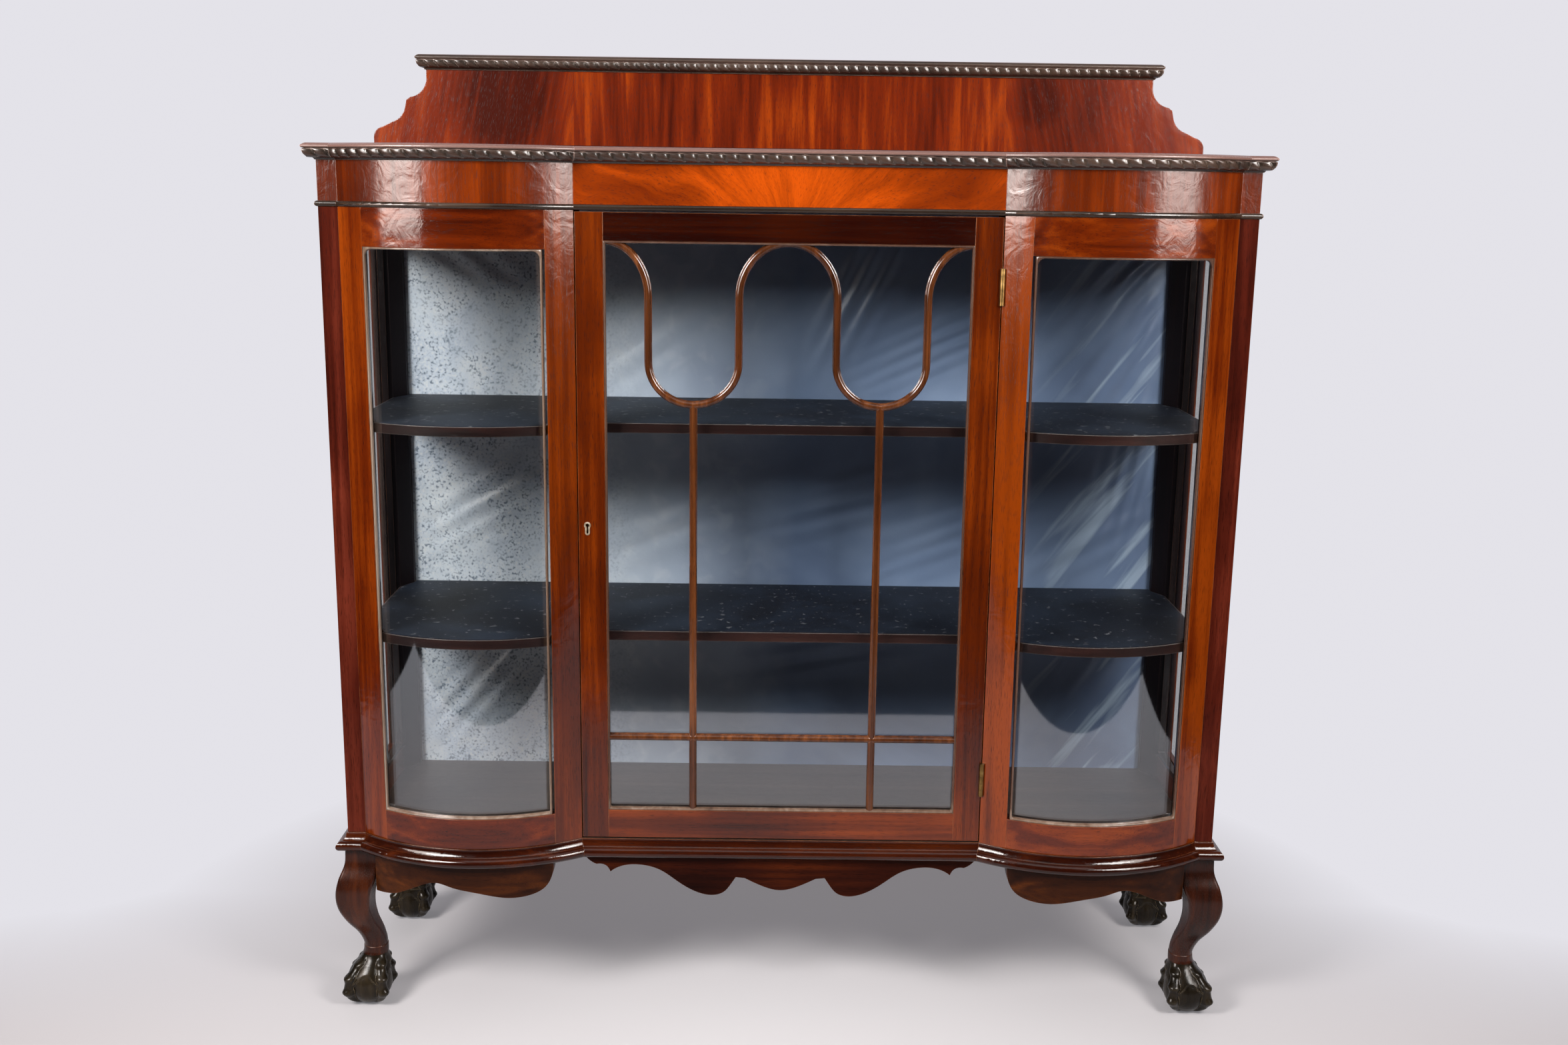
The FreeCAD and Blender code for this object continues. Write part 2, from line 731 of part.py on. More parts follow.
def moulding(label, section, level):
    """The runs of a moulding round the front and the sides: the middle, the right and the left.

    The section is a list of distances out from the face, heights above the level and radii.
    """
    def drawn(place, turn):
        """The section on a sketch: its distance out is measured from a place, either way."""
        corners = []
        for item in section:
            out, up, radius = corner_of(item)
            radius = radius if turn > 0 or not value_of(radius) else -radius
            corners.append((place + out if turn > 0 else place - out, level + up, radius))
        return corners

    strip = board(label + "_middle_strip", "YZ_Plane", drawn(middle_face, -1),
                  -half_opening - reach, half_opening + reach)
    pieces = [common(label + "_centre", strip, run_middle)]
    for side, word in ((1, "right"), (-1, "left")):
        name = "%s_%s" % (label, word)
        low, high = span(side, bay_outer - reach, half_width + reach)
        wheel = turned(name + "_bow", drawn(bow_radius, 1), bow_x if side > 0 else -bow_x, bow_y)
        strip = board(name + "_corner_strip", "YZ_Plane", drawn(face, -1), low, high)
        flank = board(name + "_side_strip", "XZ_Plane",
                      drawn(half_width, 1) if side > 0 else drawn(-half_width, -1),
                      face - reach, back)
        pieces.append(group(name, common(name + "_bay", wheel, runs["bay", side]),
                            common(name + "_corner", strip, runs["corner", side]),
                            common(name + "_side", flank, runs["side", side])))
    return pieces


def moulding_nodes(label, pieces):
    for word, piece in zip(("centre", "right", "left"), pieces):
        node("%s_%s" % (label, word), piece)


nosing_out = s.moulding_overhang - s.nosing_radius
nosing_top = s.nosing_radius * 2
moulding_nodes("base_moulding", moulding("base_moulding", [
    (nought, nought), (nosing_out, nought, s.nosing_radius),
    (s.moulding_overhang, s.nosing_radius, s.nosing_radius), (nosing_out, nosing_top),
    (nosing_out - s.cove_step, nosing_top, -s.cove_radius), (s.cove_top, s.base_height),
    (nought, s.base_height)], s.leg_height))
node("frieze_bead", group("frieze_bead", *moulding("frieze_bead_run", [
    (nought, nought, s.bead_radius), (s.bead_radius, s.bead_radius, s.bead_radius),
    (nought, s.bead_radius * 2)], frieze_level)))
edge_in = s.moulding_overhang - s.edge_depth
moulding_nodes("top_edge", moulding("top_edge", [
    (edge_in, nought), (s.moulding_overhang - s.edge_return, nought, -s.edge_hollow),
    (s.moulding_overhang, s.edge_tip_height, s.edge_round), (edge_in, s.top_thickness)], under_top))
node("top_board", board("top_board", "XY_Plane", plan(edge_in), under_top, top_level))

# Posts, with the rebates that hold the panes

frame = (floor_level, frieze_level)
pane = (floor_level + s.bottom_rail_height, frieze_level - s.top_rail_height)
rebate = (pane[0] - s.rebate_depth, pane[1] + s.rebate_depth)
glass = (rebate[0] + s.glass_edge_gap, rebate[1] - s.glass_edge_gap)
door_post_outer = derive("door_post_outer", half_opening + s.door_post_width)
bay_pane = (door_post_outer, bay_outer - s.bay_stile_width)
bay_rebate = (bay_pane[0] - s.rebate_depth, bay_pane[1] + s.rebate_depth)
bay_glass = (bay_rebate[0] + s.glass_edge_gap, bay_rebate[1] - s.glass_edge_gap)
frame_back = derive("frame_back", middle_face + s.frame_thickness)
lip_radius = derive("lip_radius", bow_radius - s.glass_lip)
pane_radius = derive("pane_radius", lip_radius - s.glass_thickness)
frame_radius = derive("frame_radius", bow_radius - s.frame_thickness)
side_post_front = face + s.corner_post_depth
back_post_front = back - s.back_post_depth
side_inner = half_width - s.frame_thickness
side_lip = half_width - s.glass_lip
side_pane = side_lip - s.glass_thickness
back_post_inner = derive("back_post_inner", half_width - s.back_post_width)

hinge_x = derive("hinge_x", half_opening - s.door_side_gap / 2)
hinge_y = derive("hinge_y", middle_face - s.hinge_proud)
door_bottom = derive("door_bottom", floor_level + s.door_end_gap)
door_top = derive("door_top", frieze_level - s.door_end_gap)
door_edge = derive("door_edge", half_opening - s.door_side_gap)
door_back = derive("door_back", frame_back - s.door_stop_gap)
upper_hinge = (door_top - s.hinge_top_drop - s.hinge_length / 2, door_top - s.hinge_top_drop + s.hinge_length / 2)
lower_hinge = (door_bottom + s.hinge_bottom_rise - s.hinge_length / 2,
               door_bottom + s.hinge_bottom_rise + s.hinge_length / 2)
hinges = (("upper", upper_hinge), ("lower", lower_hinge))
leaf_front = hinge_y + s.hinge_barrel_radius + s.hinge_running_gap
leaf_y = (leaf_front, leaf_front + s.hinge_leaf_width)
leaf_thick = s.hinge_leaf_thickness
leaf_x = {"door": (door_edge - leaf_thick, door_edge), "post": (half_opening, half_opening + leaf_thick)}
barrel_room = s.hinge_barrel_radius + s.barrel_recess_gap


def hinge_screws(owner):
    """Countersunk screws of the two leaves on one side, as one group of separate solids."""
    screws = []
    way = -1 if owner == "door" else 1
    start = door_edge if owner == "door" else half_opening
    middle = leaf_y[0] + s.hinge_leaf_width / 2
    for word, height in hinges:
        for index in range(screws_per_leaf):
            level = (height[0] + height[1]) / 2 + s.screw_pitch * (index - (screws_per_leaf - 1) / 2)
            name = "screw_%s_%s_%d" % (owner, word, index)
            head = doc.addObject("Part::Cone", name + "_head")
            head.Placement.Rotation = FreeCAD.Rotation(FreeCAD.Vector(0, 1, 0), 90 * way)
            bind(head, "Radius1", s.screw_head_radius)
            bind(head, "Radius2", s.screw_radius)
            bind(head, "Height", leaf_thick)
            for place, size in (("x", start), ("y", middle), ("z", level)):
                bind(head, "Placement.Base." + place, size)
            reach_in = (start, start + s.screw_length) if way > 0 else (start - s.screw_length, start)
            shank = rod(name + "_shank", "x", reach_in, middle, level, s.screw_radius)
            screws.append(fuse(name, head, shank))
    return group("hinge_screws_" + owner, *screws)


door_screws = node("hinge_screws_door", hinge_screws("door"))
post_screws = node("hinge_screws_post", hinge_screws("post"))


def leaf_recesses(owner):
    """Room in the wood for the leaves and for the barrels of both hinges."""
    rooms = []
    for word, height in hinges:
        name = "recess_%s_%s" % (owner, word)
        rooms.append(block(name, leaf_x[owner], (hinge_y, leaf_y[1]), height))
        rooms.append(rod(name + "_barrel", "z", hinge_x, hinge_y, height, barrel_room))
    return fuse("recess_" + owner, *rooms)


def bowed_rebate(name, side):
    """The room for a bay's pane and its beads, cut from every member of the bay's frame."""
    return ring(name, side, frame_radius - s.overrun, lip_radius, bay_rebate, rebate)


lock_x = (-door_edge, -door_edge + s.lock_case_width)
lock_y = (door_back - s.lock_case_depth, door_back)
lock_level = derive("lock_level", floor_level + s.lock_rise)
lock_z = (lock_level - s.lock_case_height / 2, lock_level + s.lock_case_height / 2)
bolt_y = (lock_y[0] + (s.lock_case_depth - s.lock_bolt_thickness) / 2,
          lock_y[1] - (s.lock_case_depth - s.lock_bolt_thickness) / 2)
bolt_z = (lock_level - s.lock_bolt_height / 2, lock_level + s.lock_bolt_height / 2)
bolt_x = (lock_x[0] + s.lock_bolt_set_back, lock_x[0] + s.lock_bolt_set_back + s.lock_bolt_length)


def widened(pair, gap):
    return (pair[0] - gap, pair[1] + gap)


mortise_depth = s.lock_bolt_throw + s.lock_mortise_gap
mortise = block("bolt_mortise", (-half_opening - mortise_depth, -half_opening + s.overrun),
                widened(bolt_y, s.lock_mortise_gap), widened(bolt_z, s.lock_mortise_gap))

side_rails = []
side_panes = []
for side, word in ((1, "right"), (-1, "left")):
    bay_room = bowed_rebate("bay_room_" + word, side)
    side_room = block("side_room_" + word, span(side, side_inner - s.overrun, side_lip),
                      (side_post_front - s.rebate_depth, back_post_front + s.rebate_depth), rebate)
    name = "door_post_" + word
    stock = block(name + "_stock", span(side, half_opening, door_post_outer),
                  (bow_y - bow_radius, frame_back), frame)
    drum = rod(name + "_drum", "z", bow_x if side > 0 else -bow_x, bow_y, frame, bow_radius)
    fitted = [leaf_recesses("post"), post_screws] if side > 0 else [mortise]
    node(name, cut(name, common(name, stock, drum), bay_room, *fitted))

    name = "corner_post_" + word
    stock = block(name + "_stock", span(side, bay_outer, half_width), (face, side_post_front), frame)
    node(name, cut(name, stock, side_room))

    name = "back_post_" + word
    corners = [(back_post_inner, back), (half_width, back), (half_width, back_post_front),
               (side_inner, back_post_front), (back_post_inner, back - s.back_post_cheek)]
    stock = board(name + "_stock", "XY_Plane", on_side(side, corners), floor_level, under_top)
    node(name, cut(name, stock, side_room))

    # Bay frame: the outer stile and the two rails, bowed alike.
    name = "bay_frame_" + word
    members = []
    for place, x, z in (("stile", (bay_pane[1], bay_outer), frame),
                        ("bottom_rail", bay_pane, (frame[0], pane[0])),
                        ("top_rail", bay_pane, (pane[1], frame[1]))):
        member = ring("%s_%s" % (name, place), side, frame_radius, bow_radius, x, z)
        members.append(cut("%s_%s" % (name, place), member, bay_room))
    node(name, group(name, *members))

    # Side frame rails between the posts.
    name = "side_rail_" + word
    run = (side_post_front, back_post_front)
    low = block(name + "_low", span(side, side_inner, half_width), run, (frame[0], pane[0]))
    high = block(name + "_high", span(side, side_inner, half_width), run, (pane[1], frame[1]))
    side_rails += [cut(name + "_low", low, side_room), cut(name + "_high", high, side_room)]

    # Panes: bent glass in the bay, flat glass in the side.
    name = "bay_glass_" + word
    node(name, ring(name, side, pane_radius, lip_radius, bay_glass, glass))
    name = "side_glass_" + word
    side_run = (side_post_front - s.rebate_depth + s.glass_edge_gap,
                back_post_front + s.rebate_depth - s.glass_edge_gap)
    side_panes.append(block(name, span(side, side_pane, side_lip), side_run, glass))

    # Beads that hold the panes from the inside.
    name = "glazing_beads_" + word
    beads = []
    for place, x, z in (("low", bay_pane, (rebate[0], pane[0])), ("high", bay_pane, (pane[1], rebate[1])),
                        ("inner", (bay_rebate[0], bay_pane[0]), rebate),
                        ("outer", (bay_pane[1], bay_rebate[1]), rebate)):
        beads.append(ring("%s_bay_%s" % (name, place), side, frame_radius, pane_radius, x, z))
    side_beads = (("low", run, (rebate[0], pane[0])), ("high", run, (pane[1], rebate[1])),
                  ("front", (run[0] - s.rebate_depth, run[0]), rebate),
                  ("rear", (run[1], run[1] + s.rebate_depth), rebate))
    for place, y, z in side_beads:
        beads.append(block("%s_side_%s" % (name, place), span(side, side_inner, side_pane), y, z))
    node(name, group(name, *beads))

    # Frieze: the bowed board with the flat over the corner post in one, and the side board.
    name = "frieze_bay_" + word
    corners = [(half_opening, middle_face, bow_radius), (bay_outer, face), (half_width, face),
               (half_width, face + s.frame_thickness),
               (bow_side(frame_radius, face + s.frame_thickness, 1), face + s.frame_thickness,
                -frame_radius),
               (half_opening, bow_front(frame_radius, half_opening))]
    node(name, board(name, "XY_Plane", on_side(side, corners), frieze_level, under_top))

node("side_rails", group("side_rails", *side_rails))
node("side_glass", group("side_glass", *side_panes))
stop_y = (frame_back, frame_back + s.door_stop_thickness)
stop_x = (half_opening - s.door_stop_lap, half_opening - s.door_stop_lap + s.door_stop_width)
door_stops = [block("door_stop_" + word, span(side, *stop_x), stop_y, frame)
              for side, word in ((1, "right"), (-1, "left"))]
node("door_stops", group("door_stops", *door_stops))
frieze_boards = [block("frieze_side_" + word, span(side, side_inner, half_width),
                       (face + s.frame_thickness, back_post_front), (frieze_level, under_top))
                 for side, word in ((1, "right"), (-1, "left"))]
node("frieze_sides", group("frieze_sides", *frieze_boards))
node("frieze_centre", block("frieze_centre", (-half_opening, half_opening), (middle_face, frame_back),
                            (frieze_level, under_top)))

# Back, its cloth lining, and the two shelves on their bearers

panel_back = back - s.back_inset
lining_back = panel_back - s.back_thickness
lining_front = lining_back - s.lining_thickness
back_x = (-back_post_inner, back_post_inner)
node("back_panel", block("back_panel", back_x, (lining_back, panel_back), (floor_level, under_top)))
node("back_lining", block("back_lining", back_x, (lining_front, lining_back), (floor_level, under_top)))

shelf_radius = pane_radius - s.shelf_bow_gap
shelf_end = half_width - s.corner_post_width - s.shelf_end_gap
shelf_front = frame_back + s.shelf_front_gap
shelf_back = lining_front - s.shelf_end_gap
bay_start = door_post_outer + s.shelf_front_gap
bay_stop = bay_pane[1] - s.shelf_end_gap
cheek_x = back_post_inner - s.shelf_end_gap
shelf_right = [
    (cheek_x, shelf_back), (cheek_x, back - s.back_post_cheek - s.shelf_end_gap),
    (shelf_end, back_post_front - s.shelf_end_gap),
    (shelf_end, side_post_front + s.shelf_end_gap, -s.shelf_corner_radius),
    (bay_stop, bow_front(frame_radius - s.shelf_end_gap, bay_stop)),
    (bay_stop, bow_front(shelf_radius, bay_stop), -shelf_radius),
    (bay_start, bow_front(shelf_radius, bay_start)), (bay_start, shelf_front)]
# A side bearer's rear end is cut to the slant of the back post.
cheek_run = s.back_post_depth - s.back_post_cheek
bearer_back = back_post_front + s.bearer_width * cheek_run / (s.back_post_width - s.frame_thickness)
bearers = []
for word, rise in (("upper", s.upper_shelf_rise), ("lower", s.lower_shelf_rise)):
    level = floor_level + rise
    under = level - s.shelf_thickness
    node("shelf_" + word, board("shelf_" + word, "XY_Plane", shelf_right + left_half(shelf_right),
                                under, level))
    bearer_z = (under - s.bearer_height, under)
    bearers.append(block("bearer_back_" + word, (-cheek_x, cheek_x),
                         (lining_front - s.bearer_width, lining_front), bearer_z))
    for side, hand in ((1, "right"), (-1, "left")):
        corners = [(side_inner - s.bearer_width, side_post_front), (side_inner, side_post_front),
                   (side_inner, back_post_front), (side_inner - s.bearer_width, bearer_back)]
        bearers.append(board("bearer_%s_%s" % (hand, word), "XY_Plane", on_side(side, corners),
                             *bearer_z))
node("shelf_bearers", group("shelf_bearers", *bearers))

# Door

door_y = (middle_face, door_back)
door_z = (door_bottom, door_top)
stile_inner = derive("stile_inner", door_edge - s.door_stile_width)
door_pane = (door_bottom + s.door_bottom_rail, door_top - s.door_top_rail)
door_rebate = (door_pane[0] - s.rebate_depth, door_pane[1] + s.rebate_depth)
glass_front = derive("glass_front", middle_face + s.glass_lip)
glass_back = glass_front + s.glass_thickness
rebate_x = stile_inner + s.rebate_depth
door_room = block("door_room", (-rebate_x, rebate_x), (glass_front, frame_back + s.overrun), door_rebate)

hinge_stile = block("door_stile_hinge_stock", (stile_inner, door_edge), door_y, door_z)
node("door_stile_hinge", cut("door_stile_hinge", hinge_stile, door_room, leaf_recesses("door"), door_screws))

keyhole_x = -door_edge + s.keyhole_inset
keyhole_low = lock_level - s.keyhole_drop / 2
keyhole_high = lock_level + s.keyhole_drop / 2


def keyhole(name, radius, slot, y):
    """A round hole over a narrower slot, or the plate of that shape."""
    return fuse(name, rod(name + "_round", "y", keyhole_x, y, keyhole_high, radius),
                block(name + "_slot", (keyhole_x - slot / 2, keyhole_x + slot / 2), y,
                      (keyhole_low, keyhole_high)),
                rod(name + "_foot", "y", keyhole_x, y, keyhole_low, slot / 2))


plate_y = (middle_face - s.escutcheon_proud, middle_face - s.escutcheon_proud + s.escutcheon_thickness)
rim = s.escutcheon_rim
plate_bed = keyhole("plate_bed", s.keyhole_radius + rim, s.keyhole_slot + rim * 2, plate_y)
key_way = keyhole("key_way", s.keyhole_radius, s.keyhole_slot,
                  (middle_face - s.overrun, lock_y[0]))
node("escutcheon", cut("escutcheon", plate_bed, key_way))
lock_bed = block("lock_bed", lock_x, lock_y, lock_z)
lock_stile = block("door_stile_lock_stock", (-door_edge, -stile_inner), door_y, door_z)
node("door_stile_lock", cut("door_stile_lock", lock_stile, door_room, lock_bed, plate_bed, key_way))
bolt_room = block("bolt_room", (bolt_x[0] - s.overrun, bolt_x[1] + s.lock_bolt_gap),
                  widened(bolt_y, s.lock_bolt_gap), widened(bolt_z, s.lock_bolt_gap))
node("lock_case", cut("lock_case", lock_bed, bolt_room))
node("lock_bolt", block("lock_bolt", bolt_x, bolt_y, bolt_z))

for word, z in (("bottom", (door_bottom, door_pane[0])), ("top", (door_pane[1], door_top))):
    rail = block("door_%s_rail_stock" % word, (-stile_inner, stile_inner), door_y, z)
    node("door_%s_rail" % word, cut("door_%s_rail" % word, rail, door_room))

glass_x = rebate_x - s.glass_edge_gap
node("door_glass", block("door_glass", (-glass_x, glass_x), (glass_front, glass_back),
                         (door_rebate[0] + s.glass_edge_gap, door_rebate[1] - s.glass_edge_gap)))
bead_y = (glass_back, door_back)
door_beads = [
    block("door_bead_low", (-rebate_x, rebate_x), bead_y, (door_rebate[0], door_pane[0])),
    block("door_bead_high", (-rebate_x, rebate_x), bead_y, (door_pane[1], door_rebate[1])),
    block("door_bead_hinge", (stile_inner, rebate_x), bead_y, door_pane),
    block("door_bead_lock", (-rebate_x, -stile_inner), bead_y, door_pane)]
node("door_glazing_beads", group("door_glazing_beads", *door_beads))


def glazing_bars_shape():
    """Two uprights and a cross bar, and the waving bar over them, on the face of the pane.

    The waving bar hangs in two loops on the uprights and rises between them to a middle arch
    and, at the sides, to the upper corners.
    """
    low = door_pane[0].value
    high = door_pane[1].value
    half_bar = s.bar_width.value / 2
    upright = s.bar_spacing.value / 2
    loop_low = high - s.loop_drop.value
    loop_side = s.loop_width.value / 2
    inner = upright - loop_side
    outer = upright + loop_side
    edge = stile_inner.value
    front = glass_front.value - s.bar_depth.value

    def strip(grow):
        """Half the waving bar's outline on one side of its middle line."""
        lower = FreeCAD.Vector(upright, 0, loop_low)
        turn_low = loop_low + s.loop_round.value
        turn_high = high - s.arch_round.value
        loop = Part.BSplineCurve()
        points = []
        steps = 12
        for index in range(steps + 1):
            angle = math.radians(180 * index / steps)
            points.append(FreeCAD.Vector(upright - math.cos(angle) * (loop_side - grow), 0,
                                         turn_low - math.sin(angle) * (s.loop_round.value - grow)))
        loop.interpolate(points)
        arch = Part.BSplineCurve()
        quarter = []
        for index in range(steps + 1):
            angle = math.radians(90 * index / steps)
            quarter.append(FreeCAD.Vector(math.sin(angle) * (inner + grow), 0,
                                          turn_high + math.cos(angle) * (s.arch_round.value + grow)))
        arch.interpolate(quarter)
        corner = Part.BSplineCurve()
        rise = []
        for index in range(steps + 1):
            angle = math.radians(90 * index / steps)
            rise.append(FreeCAD.Vector(edge - math.cos(angle) * (edge - outer + grow), 0,
                                       turn_high + math.sin(angle) * (s.arch_round.value + grow)))
        corner.interpolate(rise)
        line_in = Part.LineSegment(quarter[-1], points[0])
        line_out = Part.LineSegment(points[-1], rise[0])
        return [arch.toShape(), line_in.toShape(), loop.toShape(), line_out.toShape(),
                corner.toShape()], quarter[0], rise[-1]

    top_edges, top_start, top_end = strip(half_bar)
    low_edges, low_start, low_end = strip(-half_bar)
    closing = [Part.LineSegment(top_start, low_start).toShape(),
               Part.LineSegment(top_end, low_end).toShape()]
    wave = Part.Face(Part.Wire(Part.__sortEdges__(top_edges + low_edges + closing)))
    depth = FreeCAD.Vector(0, s.bar_depth.value, 0)
    wave.translate(FreeCAD.Vector(0, front, 0))
    right_wave = wave.extrude(depth)
    left_wave = right_wave.mirror(FreeCAD.Vector(0, 0, 0), FreeCAD.Vector(1, 0, 0))
    sight = Part.makeBox(edge * 2, s.bar_depth.value, high - low, FreeCAD.Vector(-edge, front, low))
    pieces = [right_wave, left_wave]
    for x in (-upright, upright):
        pieces.append(Part.makeBox(s.bar_width.value, s.bar_depth.value, loop_low - low,
                                   FreeCAD.Vector(x - half_bar, front, low)))
    pieces.append(Part.makeBox(edge * 2, s.bar_depth.value, s.bar_width.value,
                               FreeCAD.Vector(-edge, front, low + s.cross_bar_rise.value - half_bar)))
    return pieces[0].multiFuse(pieces[1:]).common(sight).removeSplitter()


bars = doc.addObject("Part::Feature", "door_glazing_bars_shape")
bars.Shape = glazing_bars_shape()
node("door_glazing_bars", bars)

# Hinges: the post leaf has the outer and the middle knuckles, the door leaf those between

knuckle = s.hinge_length / knuckle_count
leaves = {"door": [], "post": []}
pins = []
for word, height in hinges:
    pins.append(rod("hinge_pin_" + word, "z", hinge_x, hinge_y, height, s.hinge_pin_radius))
    for owner in ("door", "post"):
        name = "hinge_leaf_%s_%s" % (owner, word)
        plate = block(name + "_plate", leaf_x[owner], leaf_y, height)
        parts = [plate]
        first = 1 if owner == "door" else 0
        for index in range(first, knuckle_count, 2):
            part_z = (height[0] + knuckle * index + s.hinge_running_gap / 2,
                      height[0] + knuckle * (index + 1) - s.hinge_running_gap / 2)
            parts.append(rod("%s_knuckle_%d" % (name, index), "z", hinge_x, hinge_y, part_z,
                             s.hinge_barrel_radius))
            lug_x = leaf_x[owner]
            parts.append(block("%s_lug_%d" % (name, index), lug_x, (hinge_y, leaf_y[0]), part_z))
        clearance = s.pin_clearance if owner == "door" else nought
        bore = rod(name + "_bore", "z", hinge_x, hinge_y, widened(height, s.overrun),
                   s.hinge_pin_radius + clearance)
        screws = door_screws if owner == "door" else post_screws
        leaves[owner].append(cut(name, fuse(name, *parts), bore, screws))
node("hinge_leaves_door", group("hinge_leaves_door", *leaves["door"]))
node("hinge_leaves_post", group("hinge_leaves_post", *leaves["post"]))
node("hinge_pins", group("hinge_pins", *pins))

# Gallery: a low shaped board along the back of the top, with a fillet at its foot and a
# carved cornice round its upper edge

gallery_top = derive("gallery_top", top_level + s.gallery_height)
gallery_back = back - s.gallery_back_gap
gallery_front = derive("gallery_front", gallery_back - s.gallery_thickness)
gallery_foot = half_width - s.gallery_inset
gallery_half = derive("gallery_half", gallery_foot - s.gallery_rake)
gallery_right = []
for share, rise, radius in gallery_end_shares:
    corner = (gallery_half + s.gallery_rake * share, top_level + s.gallery_height * rise)
    gallery_right.append(corner + (s.gallery_rake * radius,) if radius else corner)
node("gallery_board", board("gallery_board", "XZ_Plane", gallery_right + left_half(gallery_right),
                            gallery_front, gallery_back))
fillet_corners = [(gallery_front, top_level), (gallery_front, top_level + s.gallery_fillet),
                  (gallery_front - s.gallery_fillet / 4, top_level + s.gallery_fillet, s.gallery_fillet),
                  (gallery_front - s.gallery_fillet, top_level + s.gallery_fillet / 4),
                  (gallery_front - s.gallery_fillet, top_level)]
node("gallery_fillet", board("gallery_fillet", "YZ_Plane", fillet_corners, -gallery_foot, gallery_foot))

cornice_top = derive("cornice_top", gallery_top + s.cornice_height)
cornice_in = s.cornice_depth - s.cornice_overhang
cap_x = gallery_half - cornice_in
cap = block("gallery_cap", (-cap_x, cap_x), (gallery_front + cornice_in, gallery_back),
            (gallery_top, cornice_top))


def cornice_section(place, turn):
    """The cornice's section: a hollow under the tip and a round over it."""
    corners = [(-cornice_in, nought), (nought, nought, -s.cornice_round),
               (s.cornice_overhang, s.cornice_tip_height, s.cornice_round), (-cornice_in, s.cornice_height)]
    drawn = []
    for item in corners:
        out, up, radius = corner_of(item)
        radius = radius if turn > 0 or not value_of(radius) else -radius
        drawn.append((place + out if turn > 0 else place - out, gallery_top + up, radius))
    return drawn


far = s.cornice_depth * 2
mitre_out = (gallery_half + far, gallery_front - far)
mitre_in = (gallery_half - far, gallery_front + far)
front_plan = board("cornice_front_plan", "XY_Plane",
                   [flipped(mitre_out), mitre_out, mitre_in, flipped(mitre_in)], gallery_top, cornice_top)
front_strip = board("cornice_front_strip", "YZ_Plane", cornice_section(gallery_front, -1),
                    -gallery_half - far, gallery_half + far)
cornice = [cap, common("cornice_front", front_strip, front_plan)]
for side, word in ((1, "right"), (-1, "left")):
    flank = board("cornice_flank_" + word, "XZ_Plane",
                  cornice_section(gallery_half, 1) if side > 0 else cornice_section(-gallery_half, -1),
                  gallery_front - far, gallery_back)
    corners = [mitre_out, (gallery_half + far, gallery_back), (gallery_half - far, gallery_back), mitre_in]
    flank_plan = board("cornice_plan_" + word, "XY_Plane", on_side(side, corners), gallery_top, cornice_top)
    cornice.append(common("cornice_" + word, flank, flank_plan))
node("gallery_cornice", group("gallery_cornice", *cornice))

# Every object has to be sound before anything is written.

doc.recompute()
for item in doc.Objects:
    if "Invalid" in item.State or "Error" in item.State:
        raise SystemExit("%s failed: %s" % (item.Name, item.State))
for piece in nodes:
    if piece.Shape.isNull() or not piece.Shape.isValid() or not piece.Shape.Solids:
        raise SystemExit("%s has no sound solid" % piece.Label)

os.makedirs("parts", exist_ok=True)
whole = FreeCAD.BoundBox()
for piece in nodes:
    piece.Shape.exportStep(os.path.join("parts", piece.Label + ".step"))
    whole.add(piece.Shape.BoundBox)
print("%d nodes, %.1f x %.1f x %.1f mm" % (len(nodes), whole.XLength, whole.YLength, whole.ZLength))
print("box from %.2f %.2f %.2f to %.2f %.2f %.2f" % (
    whole.XMin, whole.YMin, whole.ZMin, whole.XMax, whole.YMax, whole.ZMax))
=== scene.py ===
"""Looks of the glazed display cabinet: polished mahogany, bent and flat panes, a cloth-lined back,
two covered shelves, carved edges and claw feet. Metres, Z up, the front faces -Y."""

import math

import bmesh
import bpy
import numpy as np
from mathutils import Matrix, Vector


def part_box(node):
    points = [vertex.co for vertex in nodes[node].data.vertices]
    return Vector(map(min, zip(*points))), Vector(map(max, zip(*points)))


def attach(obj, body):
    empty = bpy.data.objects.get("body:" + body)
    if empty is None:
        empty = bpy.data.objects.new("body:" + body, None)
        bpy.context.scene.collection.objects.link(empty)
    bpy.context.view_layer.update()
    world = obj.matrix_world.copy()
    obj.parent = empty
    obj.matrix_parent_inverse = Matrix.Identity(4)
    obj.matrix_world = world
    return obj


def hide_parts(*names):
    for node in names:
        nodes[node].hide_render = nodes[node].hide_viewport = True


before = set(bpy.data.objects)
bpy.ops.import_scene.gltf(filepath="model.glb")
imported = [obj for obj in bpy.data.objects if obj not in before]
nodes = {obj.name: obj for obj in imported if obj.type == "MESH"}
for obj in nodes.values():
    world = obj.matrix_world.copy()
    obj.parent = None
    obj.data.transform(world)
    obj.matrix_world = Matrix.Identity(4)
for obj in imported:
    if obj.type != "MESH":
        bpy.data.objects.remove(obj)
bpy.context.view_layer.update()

# Cabriole legs. Each is sawn from one square of mahogany and carved: a square knee, a slim round
# ankle, and a ball held by four claws. The base board is screwed down on their blocks.

HALF_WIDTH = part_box("corner_post_right")[1].x
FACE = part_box("corner_post_right")[0].y
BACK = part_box("back_post_right")[1].y
LEG_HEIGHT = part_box("base_board")[0].z


